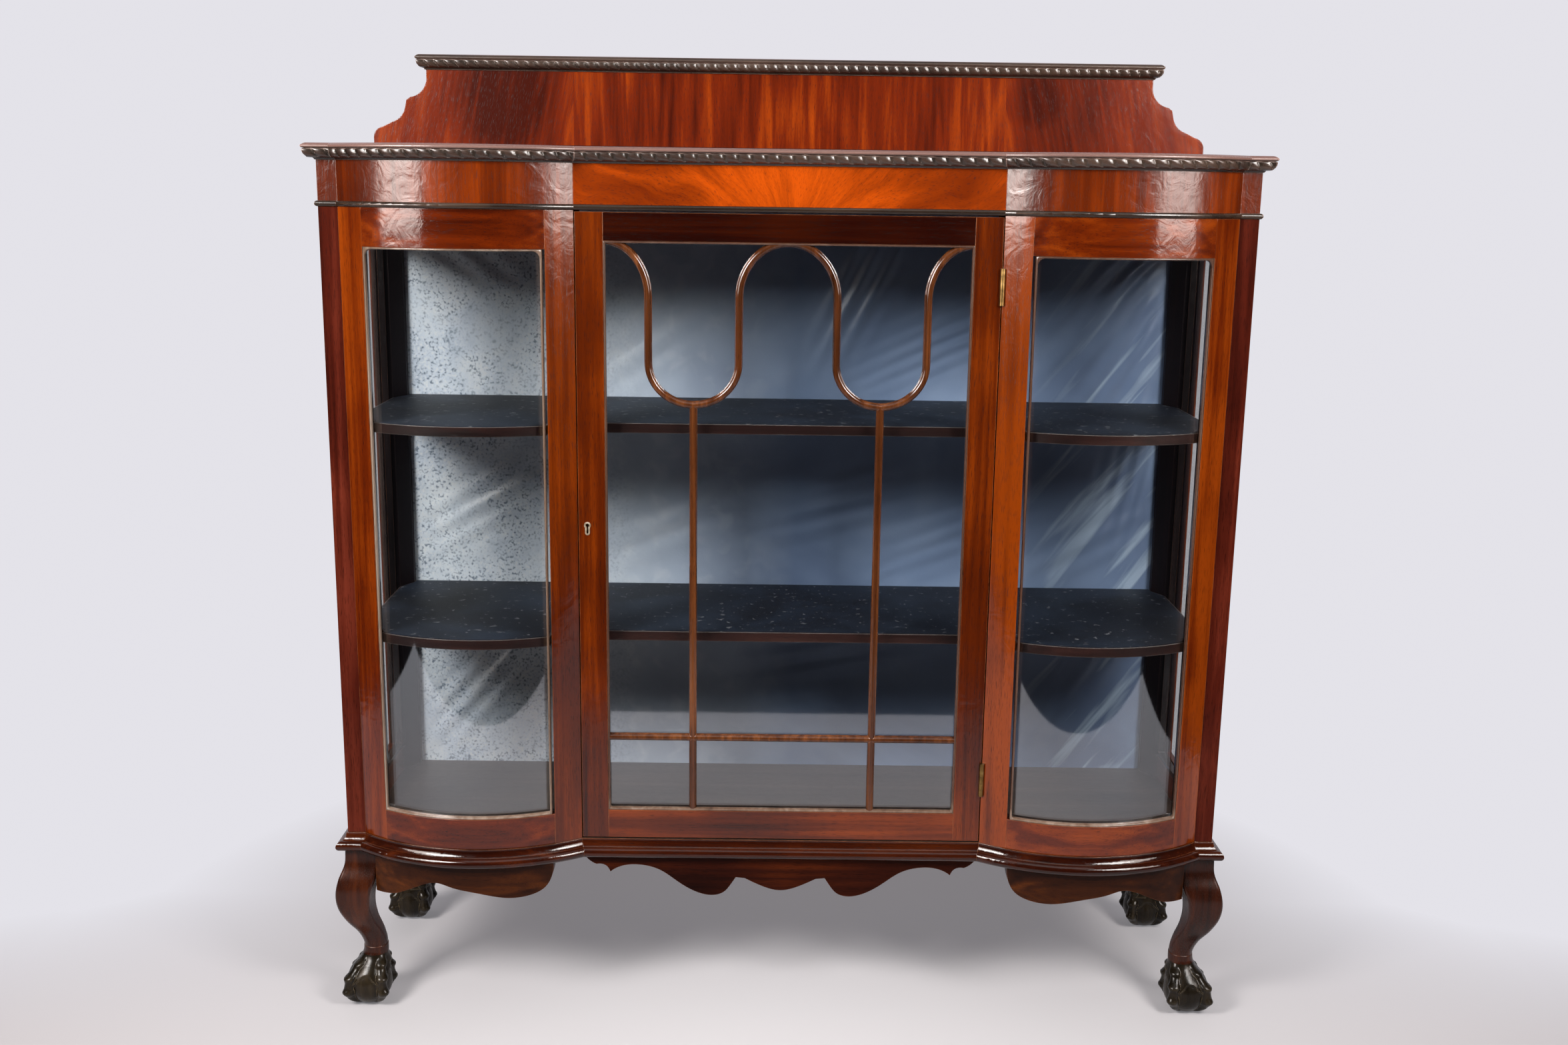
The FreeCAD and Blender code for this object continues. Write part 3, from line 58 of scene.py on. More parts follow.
class Value:
    """One output of a finish's nodes. Arithmetic on it adds the Math node that works it out."""

    def __init__(self, finish, socket):
        self.finish = finish
        self.socket = socket

    def other(self, output):
        """Another output of the same node."""
        return Value(self.finish, self.socket.node.outputs[output])

    def worked(self, operation, *terms, clamp=False):
        """A Math node's result on these terms."""
        return self.finish.add("Math", {"operation": operation, "use_clamp": clamp},
                               dict(enumerate(terms)))

    def __add__(self, term):
        return self.worked("ADD", self, term)

    def __sub__(self, term):
        return self.worked("SUBTRACT", self, term)

    def __rsub__(self, term):
        return self.worked("SUBTRACT", term, self)

    def __mul__(self, term):
        return self.worked("MULTIPLY", self, term)

    def __pow__(self, term):
        return self.worked("POWER", self, term)

    def __abs__(self):
        return self.worked("ABSOLUTE", self)

    def __gt__(self, term):
        return self.worked("GREATER_THAN", self, term)

    def __lt__(self, term):
        return self.worked("LESS_THAN", self, term)

    __radd__ = __add__
    __rmul__ = __mul__

    def held(self):
        """The value kept between nought and one."""
        return self.worked("ADD", self, 0.0, clamp=True)

    def past(self, level, steep):
        """Nought below a level; above it, the height over it times a steepness, up to one."""
        return ((self - level) * steep).held()

    def short_of(self, level, steep):
        """Nought above a level; below it, the depth under it times a steepness, up to one."""
        return ((level - self) * steep).held()


class Finish:
    """A new material, or a holder such as the world, that is built up from nodes."""

    def __init__(self, name, holder=None):
        self.material = holder or bpy.data.materials.new(name)
        self.material.use_nodes = True
        self.tree = self.material.node_tree
        self.tree.nodes.clear()
        self.place = self.add("TexCoord", output="Object")
        self.x = self.add("SeparateXYZ", {}, {0: self.place})
        self.y, self.z = self.x.other("Y"), self.x.other("Z")

    def add(self, kind, settings=None, inputs=None, output=0):
        """A node of a kind: its settings first, then the values or links of its inputs."""
        made = self.tree.nodes.new("ShaderNode" + kind)
        for name, setting in (settings or {}).items():
            if name == "stops":
                ramp = made.color_ramp.elements
                ramp[0].position, ramp[0].color = setting[0][0], (*setting[0][1], 1.0)
                ramp[1].position, ramp[1].color = setting[-1][0], (*setting[-1][1], 1.0)
                for place, colour in setting[1:-1]:
                    ramp.new(place).color = (*colour, 1.0)
            else:
                setattr(made, name, setting)
        for name, value in (inputs or {}).items():
            if isinstance(value, Value):
                self.tree.links.new(value.socket, made.inputs[name])
            else:
                socket = made.inputs[name]
                socket.default_value = (*value, 1.0) if socket.type == "RGBA" else value
        return Value(self, made.outputs[output])

    def mixed(self, factor, first, second):
        """Two colours mixed by a factor."""
        return self.add("Mix", {"data_type": "RGBA"}, {0: factor, 6: first, 7: second}, output=2)

    def noise(self, scale, detail, distortion=0.0, shift=0.0, place=None):
        """Cloudy noise on the piece, or on another place, with one scale or one for each direction."""
        stretched = self.add("Mapping", {}, {"Vector": place or self.place,
                                             "Scale": scale if isinstance(scale, tuple) else (scale,) * 3,
                                             "Location": (shift, shift * 1.7, shift * 0.6)})
        return self.add("TexNoise", {}, {"Vector": stretched, "Scale": 1.0, "Detail": detail,
                                         "Distortion": distortion})

    def shown(self, shader, kind="Material"):
        """The finish, with its shader led to the output."""
        out = self.tree.nodes.new("ShaderNodeOutput" + kind)
        self.tree.links.new(shader.socket, out.inputs["Surface"])
        return self


def along(finish, axis):
    """The place on the piece, turned so that its first coordinate runs along the grain."""
    x, y, z = finish.x, finish.y, finish.z
    turned = {"x": (x, y, z), "y": (y, z, x), "z": (z, x, y)}[axis]
    return finish.add("CombineXYZ", {}, dict(enumerate(turned)))


SOFT_EDGE = 0.0012


def edges(finish):
    """Softened normals near sharp edges, and how near an edge a point is."""
    soft = finish.add("Bevel", {"samples": 4}, {"Radius": SOFT_EDGE})
    flat = finish.add("NewGeometry", output="Normal")
    level = finish.add("VectorMath", {"operation": "DOT_PRODUCT"}, {0: soft, 1: flat}, output="Value")
    return soft, (1.0 - level).held()


def shades(dark, middle, light):
    """The stops of a ramp from a dark over a middle to a light colour."""
    return [(0.30, dark), (0.5, middle), (0.70, light)]


def polished(finish, tone, stops, lines, pores, gloss=0.15, worn=0.5, pale=(0.40, 0.14, 0.05),
             relief=0.0004, shine=0.5, tint=None):
    """Wood under French polish: a ramp of colours on the figure, dark pores, and pale worn edges.
    A tint is a function that gives how much of a colour lies over the wood, and that colour."""
    soft, edge = edges(finish)
    colour = finish.add("ValToRGB", {"stops": stops}, {"Fac": tone})
    pore = pores.short_of(0.42, 9.0)
    colour = finish.mixed(pore * 0.55, colour, tuple(0.25 * c for c in stops[0][1]))
    rub = finish.noise(38, 4.0, shift=3.1)
    colour = finish.mixed((edge * 5.0 * worn * (rub * 2.4 - 0.55)).held(), colour, pale)
    if tint:
        share, over = tint(finish)
        colour = finish.mixed(share, colour, over)
    crackle = finish.noise(42, 5.0, 0.8, 7.7)
    height = lines * 0.04 + crackle * 2.2
    normal = finish.add("Bump", {}, {"Strength": 0.35, "Distance": relief, "Height": height,
                                     "Normal": soft})
    shader = finish.add("BsdfPrincipled", {}, {
        "Base Color": colour, "Roughness": gloss + pore * 0.12 + edge * 0.2, "IOR": 1.47,
        "Specular IOR Level": shine, "Normal": normal})
    return finish.shown(shader)


def mahogany(name, grain, stops, shift=0.0, broad=38.0, lift=None, **polish):
    """Mahogany whose grain runs along one axis, or along the place that a function gives. A lift is
    a function that gives how much brighter the wood is at a point; the rest is for its polish."""
    finish = Finish(name)
    place = along(finish, grain) if isinstance(grain, str) else grain(finish)
    ribbons = finish.noise((1.4, broad, broad), 3.0, 0.9, shift, place=place)
    lines = finish.noise((4.0, 170.0, 170.0), 5.0, 0.3, shift, place=place)
    pores = finish.noise((70.0, 1300.0, 1300.0), 1.0, 0.0, shift, place=place)
    cloud = finish.noise(4.5, 2.0, 0.4, shift + 1.3)
    tone = ribbons * 0.62 + lines * 0.24 + cloud * 0.46 - 0.16
    if lift:
        tone = tone + lift(finish)
    return polished(finish, tone, stops, lines, pores, **polish)


def dress(finish, *names):
    """Gives a finish to the material slots of pieces that come from the construction."""
    for name in names:
        for slot in nodes[name].material_slots:
            slot.material = finish.material


def eased(at, places, values):
    """Smooth curve through values at places: cubic pieces whose slopes come from the neighbours."""
    places, values = np.asarray(places, float), np.asarray(values, float)
    slopes = np.gradient(values, places, axis=0)
    index = np.clip(np.searchsorted(places, at) - 1, 0, len(places) - 2)
    step = places[index + 1] - places[index]
    t = (np.asarray(at) - places[index]) / step
    if values.ndim > 1:
        t, step = t[:, None], step[:, None]
    rise = 3 * t ** 2 - 2 * t ** 3
    return ((1 - rise) * values[index] + (t ** 3 - 2 * t ** 2 + t) * step * slopes[index]
            + rise * values[index + 1] + (t ** 3 - t ** 2) * step * slopes[index + 1])


def piece(name, grids, finish, body="cabinet", sharp=38.0):
    """One mesh from grids of points, rows x columns x 3. A grid marked closed joins its last
    column to its first and has a flat face on its first and last row."""
    places, faces, count = [], [], 0
    for grid, closed in grids:
        rows, columns, _ = grid.shape
        index = np.arange(rows * columns).reshape(rows, columns) + count
        if closed:
            faces += [index[0, ::-1].tolist(), index[-1].tolist()]
            index = np.column_stack([index, index[:, :1]])
        faces += np.stack([index[:-1, :-1], index[:-1, 1:], index[1:, 1:], index[1:, :-1]],
                          -1).reshape(-1, 4).tolist()
        places.append(grid.reshape(-1, 3))
        count += rows * columns
    mesh = bpy.data.meshes.new(name)
    mesh.from_pydata(np.concatenate(places).tolist(), [], faces)
    shell = bmesh.new()
    shell.from_mesh(mesh)
    bmesh.ops.remove_doubles(shell, verts=shell.verts, dist=1e-6)
    bmesh.ops.recalc_face_normals(shell, faces=shell.faces)
    shell.to_mesh(mesh)
    shell.free()
    mesh.polygons.foreach_set("use_smooth", np.ones(len(mesh.polygons), bool))
    mesh.set_sharp_from_angle(angle=math.radians(sharp))
    mesh.materials.append(finish.material)
    made = bpy.data.objects.new(name, mesh)
    bpy.context.scene.collection.objects.link(made)
    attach(made, body)
    return made


# level, how far the outer corner stands out from the carcass corner, width and corner radius
LEG_SECTIONS = np.array([
    (0.0600, -0.0089, 0.0404, 0.0190), (0.0800, -0.0105, 0.0343, 0.0165),
    (0.0953, -0.0100, 0.0348, 0.0153), (0.1151, -0.0042, 0.0367, 0.0132),
    (0.1404, 0.0088, 0.0423, 0.0102), (0.1648, 0.0175, 0.0479, 0.0077),
    (0.1906, 0.0195, 0.0526, 0.0063), (0.2099, 0.0156, 0.0555, 0.0050),
    (0.2330, 0.0068, 0.0498, 0.0035), (0.2575, 0.0049, 0.0470, 0.0028)])
FOOT_INSET = 0.018
# level, radius between the claws (web above, ball below), how far a claw stands out from it, half
# the claw's width, and how far the middle lies in from the ball's middle towards the ankle
FOOT_SECTIONS = np.array([
    (0.0000, 0.0120, 0.0010, 0.0030, 0.0000), (0.0040, 0.0195, 0.0050, 0.0040, 0.0000),
    (0.0100, 0.0260, 0.0085, 0.0050, 0.0000), (0.0170, 0.0306, 0.0100, 0.0062, 0.0000),
    (0.0250, 0.0333, 0.0136, 0.0086, 0.0000), (0.0320, 0.0340, 0.0100, 0.0074, 0.0000),
    (0.0400, 0.0330, 0.0094, 0.0072, 0.0000), (0.0480, 0.0306, 0.0128, 0.0092, 0.0006),
    (0.0540, 0.0284, 0.0088, 0.0078, 0.0018), (0.0600, 0.0252, 0.0074, 0.0074, 0.0034),
    (0.0660, 0.0218, 0.0088, 0.0086, 0.0052), (0.0720, 0.0190, 0.0044, 0.0078, 0.0072),
    (0.0800, 0.0172, 0.0010, 0.0070, 0.0092), (0.0900, 0.0165, 0.0000, 0.0070, 0.0098)])
FOOT_LEVEL = 0.078
# the web's edge on the ball: its level between the claws, how far it hangs lower beside a claw,
# over what breadth it hangs, and its thickness and how fast that grows above the edge
WEB_EDGE, WEB_HANG, WEB_SPREAD, WEB_THICK, WEB_FADE = 0.051, 0.017, 0.006, 0.0018, 0.0025
CORNER_STEPS = 9
CLAW_STEPS = 192

LEG = shades((0.009, 0.0020, 0.0009), (0.034, 0.0068, 0.0020), (0.090, 0.020, 0.005))
leg_wood = mahogany("leg mahogany", "z", LEG, gloss=0.24, worn=0.15, shine=0.3)
FOOT = shades((0.0040, 0.0028, 0.0014), (0.013, 0.009, 0.005), (0.040, 0.028, 0.015))


def rubbed_and_highlit_claws(finish):
    """The raised parts of the carving are painted a paler, olive tone, partly worn and partly a painted
    highlight.
    """
    return finish.add("NewGeometry", output="Pointiness").past(0.515, 10.0) * 0.5, (0.13, 0.10, 0.06)


# The foot's pale worn edges are partly wear and partly a painted highlight.
foot_wood = mahogany("carved foot mahogany", "z", FOOT, gloss=0.22, worn=1.6, relief=0.0010, shine=0.2,
                     pale=(0.20, 0.15, 0.09), tint=rubbed_and_highlit_claws)


def leg_grids(side, end):
    """Shank: rounded squares set on their outer corner, one above the other. Foot: rings whose
    radius swells at four claws, each claw with three knuckles and a talon."""
    heights = np.linspace(LEG_SECTIONS[0, 0], LEG_HEIGHT, 70)
    out, width, round_off = eased(heights, LEG_SECTIONS[:, 0], LEG_SECTIONS[:, 1:]).T
    turn = np.linspace(0, math.pi / 2, CORNER_STEPS)
    corner = np.arange(4)[:, None] * math.pi / 2
    angle = (corner + turn).ravel()
    middle = np.repeat(corner + math.pi / 4, CORNER_STEPS, 1).ravel()
    run = (width / 2 - round_off)[:, None]
    x = run * math.sqrt(2) * np.cos(middle) + round_off[:, None] * np.cos(angle)
    y = run * math.sqrt(2) * np.sin(middle) + round_off[:, None] * np.sin(angle)
    centre = (out - width / 2)[:, None]
    shank = np.stack([HALF_WIDTH + centre + x, -centre + y,
                      np.repeat(heights[:, None], 4 * CORNER_STEPS, 1)], -1)

    # Foot: radius = ball or web + claw ridge, whose section is half an oval across its width. The
    # web ends on the ball in a scalloped edge that hangs lowest beside each claw.
    level = np.linspace(0, FOOT_SECTIONS[-1, 0], 104)
    rings = eased(level, FOOT_SECTIONS[:, 0], FOOT_SECTIONS[:, 1:])
    base, ridge, half, shift = (value[:, None] for value in rings.T)
    around = np.linspace(0, 2 * math.pi, CLAW_STEPS, endpoint=False)
    beside = base * np.abs((around % (math.pi / 2)) - math.pi / 4)
    edge = WEB_EDGE - WEB_HANG * np.exp(-((beside - half) / WEB_SPREAD) ** 2)
    web = WEB_THICK * np.clip((level[:, None] - edge) / WEB_FADE, 0, 1)
    claw = ridge * np.clip(1 - (beside / half) ** 2, 0, 1) ** 0.5
    radius = base + np.maximum(claw, web)
    foot = np.stack([radius * np.cos(around) - shift, radius * np.sin(around) + shift,
                     np.repeat(level[:, None], CLAW_STEPS, 1)], -1)
    foot += (HALF_WIDTH - FOOT_INSET, FOOT_INSET, 0)
    return [(grid * (side, -end, 1) + (0, FACE if end < 0 else BACK, 0), True) for grid in (shank, foot)]


for place, side, end in (("front_right", 1, -1), ("front_left", -1, -1),
                         ("back_right", 1, 1), ("back_left", -1, 1)):
    leg = piece("leg_%s_carved" % place, leg_grids(side, end), leg_wood)
    leg.data.materials.append(foot_wood.material)
    centres = np.empty(len(leg.data.polygons) * 3)
    leg.data.polygons.foreach_get("center", centres)
    leg.data.polygons.foreach_set("material_index", (centres[2::3] < FOOT_LEVEL).astype(np.int32))
    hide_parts("leg_" + place)

# Aprons. Sawn boards between the legs: a scalloped one in the middle, two bowed ones under the
# bays, and shaped boards at the sides and the back, all tongued into the knees.

DARK = shades((0.007, 0.0014, 0.0008), (0.027, 0.0044, 0.0015), (0.075, 0.013, 0.0025))
BROWN = shades((0.009, 0.0022, 0.0008), (0.032, 0.0075, 0.0015), (0.090, 0.022, 0.003))
dress(mahogany("middle apron mahogany", "x", DARK, gloss=0.30, shift=2.0, shine=0.05),
      "apron_centre", "apron_back")
dress(mahogany("bay apron mahogany", "x", BROWN, gloss=0.30, shift=5.0, shine=0.12),
      "apron_bay_left", "apron_bay_right")
dress(mahogany("side apron mahogany", "y", DARK, shift=9.0), "apron_sides")

# Base. A broad board with two bows in its front, and round it a nosing with a hollow above.
# Its upper face is the cabinet's floor, stained but never polished.

dress(mahogany("base moulding mahogany", "x", DARK, gloss=0.1, worn=0.6, shift=4.0, relief=0.0006,
               shine=0.4),
      "base_moulding_centre", "base_moulding_left", "base_moulding_right")
STAINED = shades((0.014, 0.009, 0.006), (0.030, 0.020, 0.014), (0.055, 0.038, 0.027))
dress(mahogany("floor board stained", "x", STAINED, gloss=0.45, worn=0.2, shift=6.0), "base_board")

# Posts. Straight mahogany between the base and the frieze, grooved for the panes. The posts
# beside the door carry its hinges and its lock's mortise; the back posts are canted inside.

RED = shades((0.028, 0.0030, 0.0008), (0.100, 0.0115, 0.001), (0.230, 0.036, 0.002))
ORANGE = shades((0.024, 0.0028, 0.0006), (0.085, 0.0110, 0.0007), (0.215, 0.033, 0.0013))
PURPLE = shades((0.018, 0.0026, 0.0016), (0.058, 0.0080, 0.0040), (0.130, 0.022, 0.011))
FRAME_DEPTH = 0.024
# the painted shade inside the posts stops this far short of their outer faces
SHADE_EDGE = 0.002


def shaded_inside(finish):
    """Painted shade: the faces of the posts inside the case, which lie in shade, are painted nearly
    black, from behind the bay frames to just short of the outer faces."""
    deep = finish.y.past(FACE + FRAME_DEPTH, 400.0) * finish.y.short_of(BACK - SHADE_EDGE, 1000.0)
    inner = deep * abs(finish.x).short_of(HALF_WIDTH - SHADE_EDGE, 1000.0)
    return inner * 0.95, (0.005, 0.005, 0.007)


def sided(left, right):
    """A lift with one value on the left of the cabinet and another on the right."""
    return lambda finish: (finish.x > 0.0) * (right - left) + left


dress(mahogany("corner post mahogany", "z", PURPLE, shift=11.0, shine=0.06, tint=shaded_inside),
      "corner_post_left", "corner_post_right")
dress(mahogany("door post mahogany", "z", ORANGE, gloss=0.12, shift=13.0, lift=sided(0.0, 0.17)),
      "door_post_left", "door_post_right")
dress(mahogany("back post mahogany", "z", RED, gloss=0.3, shift=17.0, shine=0.12, tint=shaded_inside),
      "back_post_left", "back_post_right")

# Frames of the bays and the sides. A bowed stile stands against each corner post; bowed rails run
# from it to the door post, and straight rails close the sides.

BAY_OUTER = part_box("corner_post_right")[0].x
STILE_WIDTH = 0.038
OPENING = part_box("frieze_centre")[1].x
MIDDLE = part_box("frieze_centre")[0].y
BOW_RISE = 0.053
run = BAY_OUTER - OPENING
chord = math.hypot(run, FACE - MIDDLE)
BOW_RADIUS = (chord ** 2 / 4 + BOW_RISE ** 2) / (2 * BOW_RISE)
bow_back = BOW_RADIUS - BOW_RISE
BOW_X = (OPENING + BAY_OUTER) / 2 - bow_back * (FACE - MIDDLE) / chord
BOW_Y = FACE + bow_back * run / chord - (FACE - MIDDLE) / 2


def on_stile(finish):
    """One on the stiles of the bays and nought on their rails."""
    return abs(finish.x) > BAY_OUTER - STILE_WIDTH


def stile_and_rails(finish):
    """Upright grain on the stiles and level grain on the rails."""
    return finish.add("Mix", {"data_type": "VECTOR"},
                      {0: on_stile(finish), 4: along(finish, "x"), 5: along(finish, "z")}, output=1)


def stile_lift(finish):
    """The stiles are of paler, more orange wood than the rails, and the right bay than the left."""
    return on_stile(finish) * 0.09 + sided(-0.03, 0.04)(finish)


dress(mahogany("bay frame mahogany", stile_and_rails, RED, gloss=0.11, worn=0.9, shift=19.0,
               lift=stile_lift),
      "bay_frame_left", "bay_frame_right")
dress(mahogany("side rail mahogany", "y", RED, shift=23.0), "side_rails")

# Panes. Bent glass in the bays and flat glass in the sides and the door, 3 mm thick, with the
# faint waves of old glass. Slim mahogany beads are pinned behind their edges.

# The glazing beads behind the panes are painted nearly black: painted shade, for the shade inside the case.
SHADE_BLACK = shades((0.003, 0.0022, 0.0022), (0.011, 0.007, 0.007), (0.030, 0.018, 0.016))
glass = Finish("pane glass")
facing = glass.add("LayerWeight", {}, {"Blend": 0.5}, output="Facing")
waves = glass.add("Bump", {}, {"Strength": 0.05, "Distance": 0.002,
                               "Height": glass.noise((5.0, 5.0, 2.5), 1.0)})
mirror = glass.add("BsdfPrincipled", {}, {"Base Color": (0.9, 0.92, 0.95), "Metallic": 1.0,
                                          "Roughness": 0.03, "Normal": waves})
clear = glass.add("BsdfTransparent", {}, {"Color": (0.98, 0.99, 0.99)})
glass.shown(glass.add("MixShader", {}, {0: facing ** 5.0 * 0.9 + 0.1, 1: clear, 2: mirror}))
dress(glass, "bay_glass_left", "bay_glass_right", "side_glass", "door_glass")
dress(mahogany("glazing bead mahogany", "z", SHADE_BLACK, worn=0.2, shift=29.0),
      "glazing_beads_left", "glazing_beads_right", "door_glazing_beads")

# Sight beads. A thin rounded bead runs round the front of each pane; in the bays its upper corners
# are rounded. Its crest shows as a pale line, partly worn and partly a painted highlight.

SIGHT_WIDTH = 0.0030
DOOR_ROUNDING, BAY_ROUNDING, LOWER_ROUNDING = 0.002, 0.010, 0.0025
ROUND_STEPS = 13
SIDE_STEPS = 24
# share of the bead's width from the frame towards the pane, and depth behind the frame's face
SIGHT_SECTION = np.array([(0.0, 0.0010), (0.2, 0.0003), (0.55, 0.0002), (0.85, 0.0009), (1.0, 0.0024),
                          (1.0, 0.0082), (0.0, 0.0082), (0.0, 0.0010)])


def sight_bead(name, low, high, rounding, front, body):
    """A closed section carried round an opening. The line along the frame is a rectangle and the
    line along the pane is one with rounded corners; points between are shares of the two, and
    the front gives their place from their depth."""
    corners = []
    for start, outward in enumerate(np.array([(1, 1), (-1, 1), (-1, -1), (1, -1)])):
        radius = rounding if outward[1] > 0 else LOWER_ROUNDING
        angle = start * math.pi / 2 + np.linspace(0, math.pi / 2, ROUND_STEPS)
        way = np.stack([np.cos(angle), np.sin(angle)], -1)
        centre = np.where(outward > 0, high, low) - outward * (SIGHT_WIDTH + radius)
        corners.append((centre + way * radius,
                        centre + way / np.abs(way).max(1)[:, None] * (SIGHT_WIDTH + radius)))
    known = np.arange(4 * ROUND_STEPS + 1)
    steps = np.concatenate([np.linspace(i, i + 1, 1 if (i + 1) % ROUND_STEPS else SIDE_STEPS, endpoint=False)
                            for i in known[:-1]] + [known[-1:]])
    lines = []
    for line in zip(*corners):
        line = np.concatenate([*line, line[0][:1]])
        lines.append(np.stack([np.interp(steps, known, line[:, k]) for k in (0, 1)], -1))
    inner, outer = lines
    share = SIGHT_SECTION[None, :, :1]
    flat = outer[:, None] * (1 - share) + inner[:, None] * share
    x, z = flat[..., 0], flat[..., 1]
    y = front(SIGHT_SECTION[None, :, 1] + 0 * x, x)
    bead = piece(name, [(np.stack([x, y, z], -1), False)], sight_wood, body, 60.0)


def bow_front(depth, x):
    """The bow in plan, a depth in from its face: a circle about the bow's middle."""
    return BOW_Y - np.sqrt((BOW_RADIUS - depth) ** 2 - (np.abs(x) - BOW_X) ** 2)


BAY_PANE = (OPENING + 0.041, BAY_OUTER - STILE_WIDTH)
BAY_LEVELS = (0.330, 1.152)
LEFT_BAY_END = -0.31


def unhighlit_beads(finish):
    """The bead of the left bay is pale, partly worn and partly a painted highlight; those of the door
    and the right bay are kept dark, without the painted highlight, but along the bottom."""
    share = finish.x.past(LEFT_BAY_END, 100.0) * finish.z.past(BAY_LEVELS[0] + BAY_ROUNDING, 120.0) * 0.72
    return share, (0.055, 0.018, 0.010)


# The bead's pale colours and pale worn edges are partly wear and partly a painted highlight.
sight_wood = mahogany("sight bead mahogany", "z",
                      shades((0.070, 0.036, 0.022), (0.150, 0.090, 0.060), (0.300, 0.220, 0.170)),
                      gloss=0.2, worn=1.7, shift=83.0, pale=(0.46, 0.39, 0.32), tint=unhighlit_beads)
for word, sign in (("right", 1), ("left", -1)):
    ends = sorted(sign * x for x in BAY_PANE)
    sight_bead("bay_sight_bead_" + word, (ends[0], BAY_LEVELS[0]), (ends[1], BAY_LEVELS[1]),
               BAY_ROUNDING, bow_front, "cabinet")
door_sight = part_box("door_stile_hinge")[0].x
rail_top, rail_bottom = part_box("door_top_rail")[0].z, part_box("door_bottom_rail")[1].z
sight_bead("door_sight_bead", (-door_sight, rail_bottom), (door_sight, rail_top), DOOR_ROUNDING,
           lambda depth, x: MIDDLE + depth, "door")

# Back. A panel of plain boards, unpolished behind, and on its face a cloth stretched over it and
# tacked at the edges, which has drawn into shallow folds and is spotted with age.

BOARD_WIDTH = 0.202
JOINT_WIDTH = 0.012
panel = Finish("back board pine")
grain = along(panel, "z")
lines = panel.noise((3.0, 120.0, 120.0), 4.0, place=grain)
rings = panel.noise((0.9, 14.0, 14.0), 2.0, 1.5, place=grain)
PINE = shades((0.10, 0.055, 0.028), (0.19, 0.115, 0.062), (0.27, 0.175, 0.100))
pine = panel.add("ValToRGB", {"stops": PINE}, {"Fac": rings * 0.6 + lines * 0.4})
beside_joint = panel.x.worked("PINGPONG", abs(panel.x), BOARD_WIDTH / 2)
joint = (JOINT_WIDTH - beside_joint).held() * 80.0
pine = panel.mixed(joint.held() * 0.8, pine, (0.02, 0.012, 0.008))
rough = panel.add("Bump", {}, {"Strength": 0.5, "Distance": 0.0006, "Height": lines - joint.held() * 2.0})
panel.shown(panel.add("BsdfPrincipled", {}, {"Base Color": pine, "Roughness": 0.72, "Normal": rough}))
dress(panel, "back_panel")

lining = Finish("lining cloth")
cloud = lining.noise((2.6, 2.6, 3.2), 4.0, 0.5)
specks = lining.noise(240, 2.0)
blotch = lining.noise(75, 5.0, 0.6, 4.0)
thread = lining.noise((900, 900, 250), 1.0)
patches = lining.noise(11, 2.0, 0.3, 9.0)
spotted = lining.x.short_of(-0.22, 5.0) * (patches.past(0.36, 7.0) * 0.6 + 0.4)
# The cloth is paler towards the left.
paler_left = lining.x.short_of(0.02, 2.6)
BLUE = shades((0.125, 0.180, 0.310), (0.215, 0.298, 0.470), (0.350, 0.450, 0.640))
PALER_BLUE = shades((0.64, 0.72, 0.86), (0.79, 0.86, 0.95), (0.88, 0.93, 0.98))
deep = lining.add("ValToRGB", {"stops": BLUE}, {"Fac": cloud})
pale = lining.add("ValToRGB", {"stops": PALER_BLUE}, {"Fac": cloud})
cloth = lining.mixed(paler_left, deep, pale)
lumps = lining.noise(30, 3.0, 0.4, 2.0)
cloth = lining.mixed(lumps.past(0.50, 6.0) * paler_left * 0.35, cloth, (0.94, 0.96, 0.98))
cloth = lining.mixed(lumps.short_of(0.48, 7.0) * paler_left * 0.30, cloth, (0.46, 0.54, 0.66))
grime = specks * 0.7 + blotch * 0.3
cloth = lining.mixed(grime.past(0.53, 9.0) * spotted * 0.7, cloth, (0.93, 0.94, 0.95))
cloth = lining.mixed(grime.short_of(0.475, 9.0) * spotted * 0.9, cloth, (0.16, 0.21, 0.29))
cloth = lining.mixed(patches.short_of(0.47, 6.0) * spotted * 0.35, cloth, (0.42, 0.49, 0.60))
# Painted highlight: pale streaks along slanting creases on the right, for the sheen of the satin on its
# folds.
slant = lining.add("CombineXYZ", {}, {0: lining.x * 0.62 + lining.z * 0.78,
                                      1: lining.z * 0.62 - lining.x * 0.78})
crease_sheen = lining.noise((4.0, 42.0, 1.0), 3.0, 0.5, 6.0, place=slant)
drawn = lining.x.past(0.38, 8.0)
cloth = lining.mixed(crease_sheen.past(0.56, 7.0) * drawn * 0.6, cloth, (0.62, 0.76, 0.92))
weave = lining.add("Bump", {}, {"Strength": 0.3, "Distance": 0.0004, "Height": thread + specks * 0.6})
lining.shown(lining.add("BsdfPrincipled", {}, {"Base Color": cloth, "Roughness": 0.34,
                                               "Sheen Weight": 0.15, "Normal": weave}))

low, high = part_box("back_lining")
LINING_THICK = 0.0009
LINING_LIFT = 0.0002
TACKED_EDGE = 0.03
FOLD_LENGTH, FOLD_BREADTH = 0.13, 0.05
# where the cloth is drawn: across, up, and the degrees by which the fold leans
DRAWN = [(-0.50, 1.12, -35), (-0.20, 1.00, 38), (0.12, 1.10, 64), (0.27, 1.02, 25), (0.50, 1.06, 52),
         (0.56, 0.99, 60), (0.55, 1.12, 46), (-0.45, 0.75, 30), (-0.15, 0.72, 24), (0.10, 0.74, 16),
         (0.30, 0.70, 22), (0.52, 0.69, 30), (0.57, 0.80, 78), (-0.48, 0.44, 50), (0.05, 0.45, 12),
         (0.50, 0.45, 60)]


